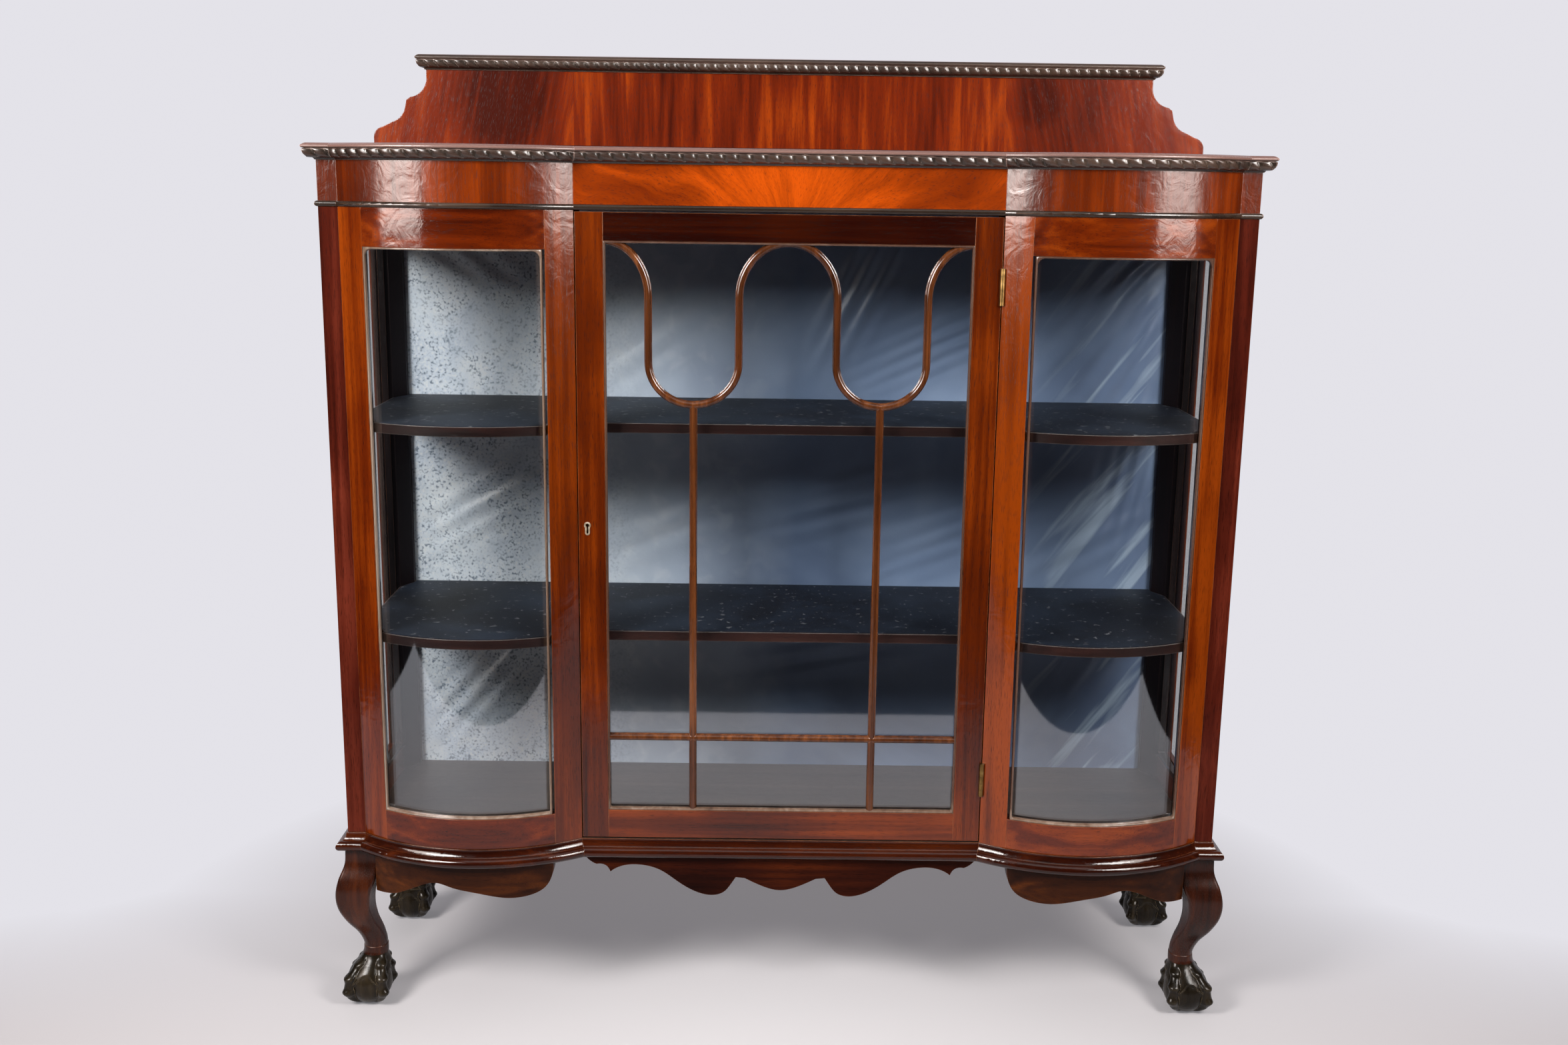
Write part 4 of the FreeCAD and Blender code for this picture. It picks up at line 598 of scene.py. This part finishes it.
def folds(x, z):
    """How far the cloth stands off the boards: ridges across slanting lines, each fading along
    its length and with distance from the place where the cloth is drawn."""
    lift = np.zeros_like(x)
    chance = np.random.default_rng(7)
    for spot_x, spot_z, degrees in DRAWN:
        lean = math.radians(degrees)
        run = (x - spot_x) * math.cos(lean) + (z - spot_z) * math.sin(lean)
        beside = -(x - spot_x) * math.sin(lean) + (z - spot_z) * math.cos(lean)
        pitch = chance.uniform(0.022, 0.045)
        height = chance.uniform(0.0012, 0.0028)
        lift += (height * np.exp(-(run / FOLD_LENGTH) ** 2 - (beside / FOLD_BREADTH) ** 2)
                 * (1 + np.cos(beside * 2 * math.pi / pitch + run * 6)))
    return lift


def skins(front, back):
    """A cloth's two faces and the strips that close its four edges."""
    rims = [np.stack(pair) for pair in ((front[0], back[0]), (front[-1], back[-1]),
                                        (front[:, 0], back[:, 0]), (front[:, -1], back[:, -1]))]
    return [(grid, False) for grid in [front, back] + rims]


x, z = np.meshgrid(np.linspace(low.x, high.x, 300), np.linspace(low.z, high.z, 250), indexing="ij")
to_edge = np.minimum(np.minimum(x - low.x, high.x - x), np.minimum(z - low.z, high.z - z))
front = high.y - LINING_THICK - folds(x, z) * np.clip(to_edge / TACKED_EDGE, 0, 1) - LINING_LIFT
back_cloth = piece("back_lining_cloth", skins(np.stack([x, front, z], -1),
                                              np.stack([x, front + LINING_THICK, z], -1)), lining)
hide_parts("back_lining")

# Shelves. Loose boards with a polished front edge that follows the bays, lying on bearers. A dark
# cloth is glued over each, and has gathered dust and pale scratches.

SHELF = shades((0.006, 0.0020, 0.0016), (0.020, 0.0060, 0.0045), (0.055, 0.019, 0.014))
dress(mahogany("shelf mahogany", "x", SHELF, gloss=0.3, worn=2.6, shift=31.0, pale=(0.30, 0.26, 0.24)),
      "shelf_upper", "shelf_lower")
dress(mahogany("bearer mahogany", "x", DARK, gloss=0.4, shift=37.0), "shelf_bearers")
dress(mahogany("door stop mahogany", "z", DARK, gloss=0.3, shift=39.0), "door_stops")

shelf_cloth = Finish("shelf cloth")
thread = shelf_cloth.noise(700, 2.0)
dust = shelf_cloth.noise(90, 4.0, 0.4)
wear = shelf_cloth.noise(7, 3.0, 0.5)
navy = shelf_cloth.add("ValToRGB",
                       {"stops": [(0.35, (0.0025, 0.0045, 0.010)), (0.65, (0.013, 0.021, 0.038))]},
                       {"Fac": wear * 1.3 + thread * 0.3 - 0.30})
navy = shelf_cloth.mixed(dust.past(0.63, 12.0) * 0.6, navy, (0.30, 0.30, 0.32))
nap = shelf_cloth.add("Bump", {}, {"Strength": 0.4, "Distance": 0.0005, "Height": thread})
shelf_cloth.shown(shelf_cloth.add("BsdfPrincipled", {}, {"Base Color": navy, "Roughness": 0.55,
                                                         "Specular IOR Level": 0.25, "Normal": nap}))

CLOTH_INSET = 0.003
CLOTH_THICK = 0.0008
CLOTH_LIFT = 0.00005
SHELF_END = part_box("shelf_upper")[1].x - CLOTH_INSET
SHELF_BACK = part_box("shelf_upper")[1].y - CLOTH_INSET
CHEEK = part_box("back_lining")[1].x - CLOTH_INSET
BAY_START = BAY_PANE[0] + CLOTH_INSET
BAY_STOP = BAY_PANE[1] - 0.002
HAIR = 1e-5
# how far the shelf lies behind the middle's face, the bow's face, the stile's face and the corner
MIDDLE_DEPTH, BOW_DEPTH, STILE_DEPTH, CORNER_DEPTH = 0.026, 0.0135, 0.024, 0.042
# how far before the carcass's back the canted cut starts and ends, and how round the corner is
CANT_START, CANT_END = 0.034, 0.066
ROUND_SHARE = 0.35


def shelf_edges(x):
    """Front and rear of the cloth at each place across the shelf: straight in the middle, on the
    bow's circle in the bays, rounded at the front corners and cut off before the back posts."""
    side = np.abs(x)
    bow = bow_front(BOW_DEPTH + CLOTH_INSET, np.clip(side, BAY_START, BAY_STOP))
    front = np.where((side > BAY_START) & (side < BAY_STOP), bow, MIDDLE + MIDDLE_DEPTH + CLOTH_INSET)
    inner = bow_front(STILE_DEPTH, BAY_STOP) + CLOTH_INSET
    outer = FACE + CORNER_DEPTH + CLOTH_INSET
    t = np.clip((side - BAY_STOP) / (SHELF_END - BAY_STOP), 0, 1)
    turn = 1 - np.sqrt(1 - t ** 2) * ROUND_SHARE - (1 - ROUND_SHARE) * (1 - t)
    front = np.where(side >= BAY_STOP, inner + (outer - inner) * turn, front)
    cant = np.clip((side - CHEEK) / (SHELF_END - CHEEK), 0, 1)
    cut = BACK - CANT_START - (CANT_END - CANT_START) * cant - CLOTH_INSET
    return front, np.where(side > CHEEK, cut, SHELF_BACK)


def shelf_cover(name, shelf):
    """The cloth as a thin shell: front to rear at each place across, an upper and a lower face."""
    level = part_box(shelf)[1].z
    half = np.concatenate([np.linspace(0, BAY_START, 30),
                           np.linspace(BAY_START + HAIR, BAY_STOP - 10 * HAIR, 40),
                           np.linspace(BAY_STOP + 10 * HAIR, CHEEK, 8),
                           np.linspace(CHEEK + HAIR, SHELF_END, 12)])
    x = np.concatenate([-half[:0:-1], half])
    front, back = shelf_edges(x)
    y = front[:, None] + (back - front)[:, None] * np.linspace(0, 1, 20)
    across = np.repeat(x[:, None], 20, 1)
    upper = np.stack([across, y, np.full_like(y, level + CLOTH_THICK)], -1)
    lower = np.stack([across, y, np.full_like(y, level + CLOTH_LIFT)], -1)
    cover = piece(name, skins(upper, lower), shelf_cloth)


shelf_cover("shelf_upper_cloth", "shelf_upper")
shelf_cover("shelf_lower_cloth", "shelf_lower")

# Frieze. Boards over the posts, veneered on their faces: a fan of figure in the middle, upright
# figure on the bows. A thin rounded bead is pinned along the lower edge.

CARVED = shades((0.006, 0.0035, 0.0022), (0.020, 0.012, 0.008), (0.060, 0.036, 0.024))
FRIEZE = shades((0.080, 0.008, 0.001), (0.210, 0.026, 0.001), (0.480, 0.064, 0.002))
BAY_FRIEZE = shades((0.036, 0.004, 0.0008), (0.105, 0.0130, 0.0008), (0.260, 0.036, 0.0015))
FAN_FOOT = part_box("frieze_centre")[0].z - 0.045


def fan(name):
    """Feathered figure that spreads from a place under the middle, where it is brightest."""
    finish = Finish(name)
    x, rise = finish.x, finish.z - FAN_FOOT
    angle = x.worked("ARCTAN2", x, rise)
    reach = (x * x + rise * rise) ** 0.5
    wander = finish.noise(7.0, 2.0)
    place = finish.add("CombineXYZ", {}, {0: reach * 2.0, 1: (angle + wander * 0.5) * 0.16, 2: finish.y})
    feathers = finish.noise((3.0, 24.0, 24.0), 3.0, 0.5, 41.0, place=place)
    lines = finish.noise((8.0, 150.0, 150.0), 4.0, 0.3, place=place)
    pores = finish.noise((90.0, 1300.0, 1300.0), 1.0, place=place)
    glow = (1.0 - abs(x) * 6.0).held()
    tone = feathers * 0.6 + lines * 0.2 + wander * 0.4 + glow * 0.2 - 0.10
    return polished(finish, tone, FRIEZE, lines, pores, worn=0.3)


dress(fan("middle frieze veneer"), "frieze_centre")
dress(mahogany("bay frieze veneer", "z", BAY_FRIEZE, gloss=0.19, broad=24.0, shift=43.0, relief=0.0010,
               lift=sided(-0.06, 0.0)),
      "frieze_bay_left", "frieze_bay_right")
dress(mahogany("side frieze mahogany", "y", ORANGE, shift=47.0), "frieze_sides")
dress(mahogany("frieze bead mahogany", "x", CARVED, gloss=0.2, worn=0.8, shift=53.0), "frieze_bead")

# Top. A thin board, and round its front and sides a moulding carved with gadroons: slanting
# lobes, each cut with a gouge, under a plain rounded nosing.

dress(mahogany("top board mahogany", "x", RED, gloss=0.16, shift=59.0), "top_board")
TOP_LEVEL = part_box("top_edge_centre")[1].z
NOSING = 0.0062
# a level between this moulding and the gallery's
MIDWAY = TOP_LEVEL + 0.05


def rubbed_and_highlit(finish):
    """The nosing and the crests of the lobes are painted pale, partly worn by dusting and partly a
    painted highlight, and the upper face is polished with the board."""
    nosing = finish.z.past(TOP_LEVEL - NOSING, 900.0) * finish.z.short_of(MIDWAY, 900.0) * 0.7
    crest = finish.add("NewGeometry", output="Pointiness").past(0.515, 12.0) * 0.5
    normal = finish.add("NewGeometry", output="Normal")
    upper = finish.add("SeparateXYZ", {}, {0: normal}, output="Z").past(0.85, 10.0)
    over = finish.mixed(upper, (0.25, 0.130, 0.108), (0.085, 0.012, 0.0025))
    return ((nosing + crest).held() * 0.8 + upper * 0.9).held(), over


# Its strong pale worn edges are partly wear and partly a painted highlight.
carved_edge = mahogany("carved edge mahogany", "x", CARVED, gloss=0.27, worn=2.4, shift=61.0, shine=0.6,
                       pale=(0.42, 0.31, 0.26), tint=rubbed_and_highlit)
LOBE_LEAN = 0.42
OVERHANG = 0.0157
# the carved part starts this far up and out, and the cuts run out over this height
CARVED_START, CUT_END = 0.0030, 0.0015


def edge_run(kind, out, t):
    """A line that stands a distance out from the carcass face, from start to end as t goes from
    nought to one. kind is side, corner, bay or centre; neighbours meet on their mitres."""
    outer = BOW_RADIUS + out
    corner_x = BOW_X + np.sqrt(outer ** 2 - (BOW_Y - FACE + out) ** 2)
    inner_x = BOW_X - np.sqrt(outer ** 2 - (BOW_Y - MIDDLE + out) ** 2)
    if kind == "side":
        return HALF_WIDTH + out, BACK + (FACE - out - BACK) * t
    if kind == "corner":
        return HALF_WIDTH + out + (corner_x - HALF_WIDTH - out) * t, FACE - out
    if kind == "bay":
        start, end = np.arcsin((corner_x - BOW_X) / outer), np.arcsin((inner_x - BOW_X) / outer)
        angle = start + (end - start) * t
        return BOW_X + outer * np.sin(angle), BOW_Y - outer * np.cos(angle)
    return inner_x - 2 * inner_x * t, MIDDLE - out


def rounded(points):
    """A section of straight and bowed lines: each row is out, up and how far the line to the next
    point bulges, as a share of its length."""
    made = []
    for (x, y, bulge), (next_x, next_y, _) in zip(points, points[1:]):
        t = np.linspace(0, 1, 6, endpoint=False)
        arch = 4 * bulge * t * (1 - t)
        made.append(np.stack([x + (next_x - x) * t + (next_y - y) * arch,
                              y + (next_y - y) * t - (next_x - x) * arch], -1))
    return np.concatenate(made + [np.array([points[-1][:2]])])


def gadroons(run, kind, side, lean, level, section, carved_end, pitch, steps, depth, reach):
    """The section carried along a run. Its carved part is cut back between the lobes, by the
    depth times how far a point is from a lobe's middle; the lobes lean as they rise. The run's
    length at a reach gives the number of lobes."""
    t = np.linspace(0, 1, 200)
    x, y = run(kind, np.full(200, reach), t)
    lobes = max(1, round(float(np.sum(np.hypot(np.diff(x), np.diff(y)))) / pitch))
    out, up = section.T
    fade = np.clip((up - CARVED_START) / CUT_END, 0, 1) * np.clip((carved_end - up) / CUT_END, 0, 1)
    t = np.linspace(0, 1, lobes * steps + 1)[:, None]
    phase = t * lobes + lean * (up - CARVED_START) / (carved_end - CARVED_START)
    cut = depth * fade * (out > CARVED_START) * (1 - np.abs(np.sin(math.pi * phase)) ** 0.6)
    x, y = run(kind, out - cut, t)
    return np.stack([side * x, y, level + up + 0 * t], -1), True


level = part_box("top_edge_centre")[0].z
TOP_MOULDING = {
    "section": rounded([(-0.0083, 0.0, 0.0), (0.0015, 0.0, -0.08), (0.0040, 0.0030, 0.30),
                        (0.0150, 0.0125, 0.22), (0.0120, 0.0150, 0.0), (0.0152, 0.0158, 0.32),
                        (0.0142, 0.0202, 0.12), (0.0060, 0.0220, 0.0), (-0.0083, 0.0220, 0.0)]),
    "carved_end": 0.0145, "pitch": 0.0190, "steps": 16, "depth": 0.0030, "reach": OVERHANG}
for word, side, kinds in (("centre", 1, ("centre",)), ("right", 1, ("side", "corner", "bay")),
                          ("left", -1, ("side", "corner", "bay"))):
    edge = piece("top_edge_%s_gadroons" % word,
                 [gadroons(edge_run, kind, side, -side * LOBE_LEAN, level, **TOP_MOULDING)
                  for kind in kinds], carved_edge)
    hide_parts("top_edge_" + word)

# Gallery. A low board with stepped ends stands along the back of the top, veneered on its face in
# three sheets: upright flame in the middle, slanting figure at the ends. A fillet covers its foot.

FLAME = shades((0.042, 0.0045, 0.0015), (0.130, 0.0130, 0.0020), (0.300, 0.0420, 0.0025))
VENEER_JOINT = 0.333
SMOKE_END = 0.50
# dark patches in the figure: across, up, and how steeply they fade along each
LEFT_PATCH, RIGHT_PATCH = (-0.455, 1.372, 170.0, 160.0), (0.378, 1.372, 520.0, 700.0)


def patch(finish, height, across, up, steep_across, steep_up):
    """A dark patch: its height less the squares of the distances from its middle."""
    return (height - ((finish.x - across) ** 2.0 * steep_across
                      + (finish.z - up) ** 2.0 * steep_up)).held()


def flame(name):
    """Flame veneer: upright streaks between the joints, darker slanting ones beyond them."""
    finish = Finish(name)
    x, y, z, side = finish.x, finish.y, finish.z, abs(finish.x)
    beyond = side > VENEER_JOINT
    upright = finish.add("CombineXYZ", {}, {0: z + x * x * 0.3, 1: x, 2: y})
    slanted = finish.add("CombineXYZ", {}, {0: z * 0.95 - side * 0.2, 1: side * 0.95 + z * 0.2, 2: y})
    place = finish.add("Mix", {"data_type": "VECTOR"}, {0: beyond, 4: upright, 5: slanted}, output=1)
    streaks = finish.noise((3.5, 48.0, 48.0), 5.0, 1.2, 2.0, place=place)
    broad = finish.noise((2.5, 7.0, 7.0), 2.0, 1.0, 5.0, place=place)
    lines = finish.noise((8.0, 200.0, 200.0), 4.0, 0.3, place=place)
    pores = finish.noise((90.0, 1300.0, 1300.0), 1.0, place=place)
    smoky = side.past(VENEER_JOINT, 40.0) * side.short_of(SMOKE_END, 9.0)
    tone = (streaks * (0.55 - beyond * 0.25) + broad * 0.45 + lines * 0.25 - 0.125 + beyond * 0.125
            - smoky * 0.06)
    tone = tone - (patch(finish, 1.5, *LEFT_PATCH) * 0.10 + patch(finish, 1.4, *RIGHT_PATCH) * 0.07)
    return polished(finish, tone, FLAME, lines, pores, worn=0.3)


dress(flame("gallery flame veneer"), "gallery_board")
dress(mahogany("gallery fillet mahogany", "x", BROWN, worn=1.0, shift=67.0), "gallery_fillet")

# Cornice. The same carved moulding, smaller, round the front and the ends of the gallery's upper
# edge, with a flat cap behind it.

GALLERY_FRONT, GALLERY_BACK = (corner.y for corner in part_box("gallery_board"))
low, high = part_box("gallery_cornice")
GALLERY_HALF = high.x - 0.0135
CAP_INSET = 0.0055
CORNICE_MOULDING = {
    "section": rounded([(-0.0055, 0.0, 0.0), (0.0020, 0.0, -0.1), (0.0040, 0.0030, 0.28),
                        (0.0128, 0.0122, 0.24), (0.0104, 0.0145, 0.0), (0.0130, 0.0152, 0.30),
                        (0.0122, 0.0200, 0.12), (0.0050, 0.0220, 0.0), (-0.0055, 0.0220, 0.0)]),
    "carved_end": 0.0142, "pitch": 0.0150, "steps": 14, "depth": 0.0027, "reach": 0.0}


def cornice_run(kind, out, t):
    """A level line round the gallery, a distance out from its front or from its end."""
    if kind == "front":
        return -(GALLERY_HALF + out) * (1 - 2 * t), GALLERY_FRONT - out
    return GALLERY_HALF + out, GALLERY_BACK + (GALLERY_FRONT - out - GALLERY_BACK) * t


y, up = np.array([(GALLERY_FRONT + CAP_INSET, 0.0), (GALLERY_BACK, 0.0), (GALLERY_BACK, 0.0210),
                  (GALLERY_BACK - 0.001, 0.0220), (GALLERY_FRONT + CAP_INSET, 0.0220)]).T
x = np.linspace(CAP_INSET - GALLERY_HALF, GALLERY_HALF - CAP_INSET, 40)[:, None]
cap = np.stack([x + 0 * y, y + 0 * x, low.z + up + 0 * x], -1)
cornice = piece("gallery_cornice_gadroons",
                [gadroons(cornice_run, kind, side, LOBE_LEAN, low.z, **CORNICE_MOULDING)
                 for kind, side in (("front", 1), ("end", 1), ("end", -1))] + [(cap, True)], carved_edge)
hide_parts("gallery_cornice")

# Door. Two stiles and two rails, morticed together, with a rebate behind for the pane. The upper
# rail is painted darker than the rest: painted shade, for the shade of the frieze over it.

SHADED = shades((0.0048, 0.0006, 0.0003), (0.014, 0.0015, 0.0005), (0.038, 0.005, 0.0006))
dress(mahogany("lock stile mahogany", "z", ORANGE, worn=0.9, shift=71.0), "door_stile_lock")
dress(mahogany("hinge stile mahogany", "z", ORANGE, worn=0.9, shift=77.0), "door_stile_hinge")
dress(mahogany("door top rail mahogany", "x", SHADED, worn=0.9, shift=73.0), "door_top_rail")
dress(mahogany("door bottom rail mahogany", "x", ORANGE, worn=0.9, shift=87.0), "door_bottom_rail")

# Glazing bars. Thin half-round bars on the face of the pane: two uprights, a cross bar, and one
# waving bar that is bent from strips, hanging in two loops and rising between them in an arch.

bar_wood = mahogany("glazing bar mahogany", "z",
                    shades((0.024, 0.0065, 0.002), (0.075, 0.021, 0.006), (0.190, 0.062, 0.018)),
                    gloss=0.11, worn=0.9, shift=79.0, broad=80.0)
bars_low, bars_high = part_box("door_glazing_bars")
BAR_SPACING = 0.264
LOOP_WIDTH = 0.127
LOOP_ROUND = 0.060
ARCH_ROUND = 0.076
LOOP_DROP = 0.227
LOOP_SINK = 0.002
CROSS_RISE = 0.113
# half the bar's section: to the side, and how far it stands before the pane
half_section = np.array([(-0.0055, 0.0), (-0.0055, 0.0016), (-0.0049, 0.0024), (-0.0046, 0.0042),
                         (-0.0038, 0.0058), (-0.0026, 0.0071), (-0.0013, 0.0078), (0.0, 0.0080)])
bar_section = np.concatenate([half_section, half_section[-2::-1] * (-1, 1)])


def bar(path):
    """The section carried along a line in the plane of the pane, square to it at each point."""
    slope = np.gradient(path, axis=0)
    slope /= np.linalg.norm(slope, axis=1)[:, None]
    across = np.stack([-slope[:, 1], slope[:, 0]], -1)
    x = path[:, :1] + across[:, :1] * bar_section[:, 0]
    z = path[:, 1:] + across[:, 1:] * bar_section[:, 0]
    y = bars_high.y - bar_section[:, 1] + 0 * x
    return np.stack([np.clip(x, bars_low.x, bars_high.x), y, np.minimum(z, bars_high.z)], -1), True


upright, half_loop, edge_x = BAR_SPACING / 2, LOOP_WIDTH / 2, bars_high.x
top = bars_high.z
turn_low, turn_high = top - LOOP_DROP + LOOP_ROUND, top - ARCH_ROUND
inner, outer = upright - half_loop, upright + half_loop
quarter = np.linspace(0, math.pi / 2, 24)
half_turn = np.linspace(0, math.pi, 48)
arch = np.stack([np.sin(quarter) * inner, turn_high + np.cos(quarter) * ARCH_ROUND], -1)
loop = np.stack([upright - np.cos(half_turn) * half_loop, turn_low - np.sin(half_turn) * LOOP_ROUND], -1)
rise = np.stack([edge_x - np.cos(quarter) * (edge_x - outer), turn_high + np.sin(quarter) * ARCH_ROUND], -1)
straight = np.linspace(0, 1, 10)[1:-1, None]
right_half = np.concatenate([arch, arch[-1] + (loop[0] - arch[-1]) * straight, loop,
                             loop[-1] + (rise[0] - loop[-1]) * straight, rise])
wave = np.concatenate([right_half[:0:-1] * (-1, 1), right_half])
bars = [wave]
for x in (-upright, upright):
    bars.append(np.linspace((x, bars_low.z), (x, top - LOOP_DROP + LOOP_SINK), 60))
level = bars_low.z + CROSS_RISE
bars.append(np.linspace((bars_low.x, level), (bars_high.x, level), 60))
glazing_bars = piece("door_glazing_bars_rounded", [bar(path) for path in bars], bar_wood, "door", 50.0)
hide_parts("door_glazing_bars")

# Hinges, keyhole plate and lock. Brass butts let into the edge of the door and its post, a thin
# brass lining in the keyhole, and a small cut lock with a steel bolt in the other stile.


def metal(name, scale, detail, stops, roughness, spread, filed=False):
    """Metal whose colour and dullness follow one cloudy tarnish, with file marks where it is filed."""
    finish = Finish(name)
    tarnish = finish.noise(scale, detail)
    inputs = {"Base Color": finish.add("ValToRGB", {"stops": stops}, {"Fac": tarnish}),
              "Metallic": 1.0, "Roughness": tarnish * spread + roughness}
    if filed:
        marks = finish.noise((40, 900, 900), 2.0, place=along(finish, "z"))
        inputs["Normal"] = finish.add("Bump", {}, {"Strength": 0.3, "Distance": 0.0003,
                                                   "Height": marks})
    return finish.shown(finish.add("BsdfPrincipled", {}, inputs))


dress(metal("brass", 60, 4.0, [(0.3, (0.08, 0.045, 0.016)), (0.55, (0.24, 0.145, 0.05)),
                               (0.8, (0.52, 0.370, 0.17))], 0.28, 0.25, filed=True),
      "hinge_leaves_post", "hinge_leaves_door", "hinge_pins", "hinge_screws_post", "hinge_screws_door",
      "lock_case")
dress(metal("keyhole plate brass", 200, 3.0, [(0.35, (0.45, 0.36, 0.24)), (0.65, (0.80, 0.70, 0.55))],
            0.35, 0.2), "escutcheon")
dress(metal("bolt steel", 80, 4.0, [(0.4, (0.30, 0.29, 0.28)), (0.7, (0.16, 0.10, 0.07))], 0.3, 0.3),
      "lock_bolt")

# Studio: a pale paper floor that runs into the backdrop, a soft lamp at each side of the front, a
# tall panel beside each that only the polish mirrors, one lamp overhead, and the camera. Past the
# paper's front and side edges, the panes and the polish mirror the dark room.

PAPER_FRONT = -1.52
PAPER_SIDES = (-2.04, 1.765)
BACKDROP = (0.775, 0.765, 0.815)
ROOM = (0.012, 0.010, 0.011)

floor_paper = Finish("floor paper")
x, y = floor_paper.x, floor_paper.y
reach = (x * x + y * y) ** 0.5
# Painted light: for the camera and in reflections the paper glows with the backdrop's colour, wholly far off
# and behind the cabinet, where it hides the lamps' shadows, and by a sixth everywhere, which lightens the
# cabinet's shadow.
behind = reach.past(0.6, 1.6) * y.past(-0.25, 2.0)
far = (behind + reach.past(1.25, 0.7) + 0.16).held()
camera_ray = floor_paper.add("LightPath", output="Is Camera Ray")
glossy_ray = camera_ray.other("Is Glossy Ray")
off_paper = ((y < PAPER_FRONT) + (x < PAPER_SIDES[0]) + (x > PAPER_SIDES[1])).held()
# Painted shade: the paper is darker and a little purple further from the middle, for the light falling off.
shade = reach.past(0.1, 0.8)
paper = floor_paper.mixed(shade, (0.65, 0.625, 0.635), (0.475, 0.440, 0.445))
matt = floor_paper.add("BsdfDiffuse", {}, {"Color": paper})
bright = floor_paper.add("Emission", {}, {"Color": BACKDROP, "Strength": 1.0})
dim = floor_paper.add("Emission", {}, {"Color": ROOM, "Strength": 1.0})
seen = floor_paper.add("MixShader", {}, {0: far * (camera_ray + glossy_ray).held(), 1: matt, 2: bright})
floor_paper.shown(floor_paper.add("MixShader", {}, {0: off_paper * (1.0 - camera_ray), 1: seen, 2: dim}))
span = np.linspace(-30, 30, 3)
ground = np.stack([*np.meshgrid(span, span, indexing="ij"), np.zeros((3, 3))], -1)
mesh = bpy.data.meshes.new("floor")
mesh.from_pydata(ground.reshape(-1, 3).tolist(), [],
                 [[0, 3, 4, 1], [1, 4, 5, 2], [3, 6, 7, 4], [4, 7, 8, 5]])
mesh.materials.append(floor_paper.material)
floor = bpy.data.objects.new("floor", mesh)
bpy.context.scene.collection.objects.link(floor)

# Behind the cabinet is the pale backdrop; before it is the dark room that the polish mirrors.
bpy.context.scene.world = bpy.data.worlds.new("studio")
studio = Finish("studio", bpy.context.scene.world)
way = studio.add("SeparateXYZ", {}, {0: studio.add("TexCoord", output="Generated")})
rear = way.other("Y").past(0.3, 3.0)
camera_ray = studio.add("LightPath", output="Is Camera Ray")
through = camera_ray.other("Is Transmission Ray")
glossy_ray = camera_ray.other("Is Glossy Ray")
fill = studio.add("Background", {}, {"Color": (0.95, 0.96, 1.0), "Strength": 0.07})
room = studio.add("Background", {}, {"Color": ROOM, "Strength": 1.0})
backdrop = studio.add("Background", {}, {"Color": BACKDROP, "Strength": 1.0})
lit_wall = studio.add("Background", {}, {"Color": (0.80, 0.745, 0.785), "Strength": 0.8})
sky = studio.add("MixShader", {}, {0: glossy_ray, 1: fill, 2: room})
sky = studio.add("MixShader", {}, {0: rear, 1: sky, 2: lit_wall})
sky = studio.add("MixShader", {}, {0: (camera_ray + through + glossy_ray * rear).held(),
                                   1: sky, 2: backdrop})
studio.shown(sky, "World")


def turned_to(right, up, ahead, place):
    """The placing of a lamp or camera that looks ahead from a place."""
    return Matrix(np.vstack([np.column_stack([right, up, -ahead, place]), (0, 0, 0, 1)]).tolist())


def lamp(name, place, target, size, power, colour=(1.0, 0.98, 0.96)):
    """A soft lamp at a place, turned to a target."""
    data = bpy.data.lights.new(name, "AREA")
    data.shape = "RECTANGLE"
    data.size, data.size_y = size
    data.energy = power
    data.color = colour
    made = bpy.data.objects.new(name, data)
    way = np.array(target, float) - np.array(place, float)
    way /= np.linalg.norm(way)
    right = np.cross(way, (0, 0, 1))
    right /= np.linalg.norm(right)
    up = np.cross(right, way)
    made.matrix_world = turned_to(right, up, way, place)
    bpy.context.scene.collection.objects.link(made)
    return made


lamp("lamp_left", (-1.52, -1.55, 1.90), (0.0, 0.16, 0.95), (0.7, 0.8), 68.0)
lamp("lamp_right", (1.40, -1.55, 1.90), (0.0, 0.16, 0.95), (0.7, 0.8), 50.0)
lamp("lamp_over", (0.0, -0.9, 3.2), (0.0, 0.1, 0.8), (2.4, 1.6), 18.0)
WARM = (1.0, 0.90, 0.84)
for word, sign, power in (("left", -1, 112.0), ("right", 1, 88.0)):
    panel = lamp("panel_" + word, (sign * 2.10, -1.77, 2.12), (sign * 0.45, -0.30, 2.12), (1.05, 2.0),
                 power, WARM)
    panel.visible_diffuse = False

# The camera stands where the photograph was taken from, a little over the gallery's height.
CAMERA_PLACE = (-0.0145, -2.31229, 1.2342)
FOCAL_PIXELS, PHOTO_WIDTH = 2321.5, 2352
pitch, yaw, roll = math.radians(12.086), math.radians(0.339), math.radians(0.804)
ahead = np.array([math.sin(yaw) * math.cos(pitch), math.cos(yaw) * math.cos(pitch), -math.sin(pitch)])
level_right = np.array([math.cos(yaw), -math.sin(yaw), 0.0])
level_up = np.cross(level_right, ahead)
right = math.cos(roll) * level_right + math.sin(roll) * level_up
up = -math.sin(roll) * level_right + math.cos(roll) * level_up
camera = bpy.data.objects.new("camera", bpy.data.cameras.new("camera"))
camera.data.sensor_width = 36.0
camera.data.lens = FOCAL_PIXELS / PHOTO_WIDTH * 36.0
camera.data.clip_start = 0.05
camera.matrix_world = turned_to(right, up, ahead, CAMERA_PLACE)
bpy.context.scene.collection.objects.link(camera)
bpy.context.scene.camera = camera
bpy.context.scene.view_settings.view_transform = "Standard"
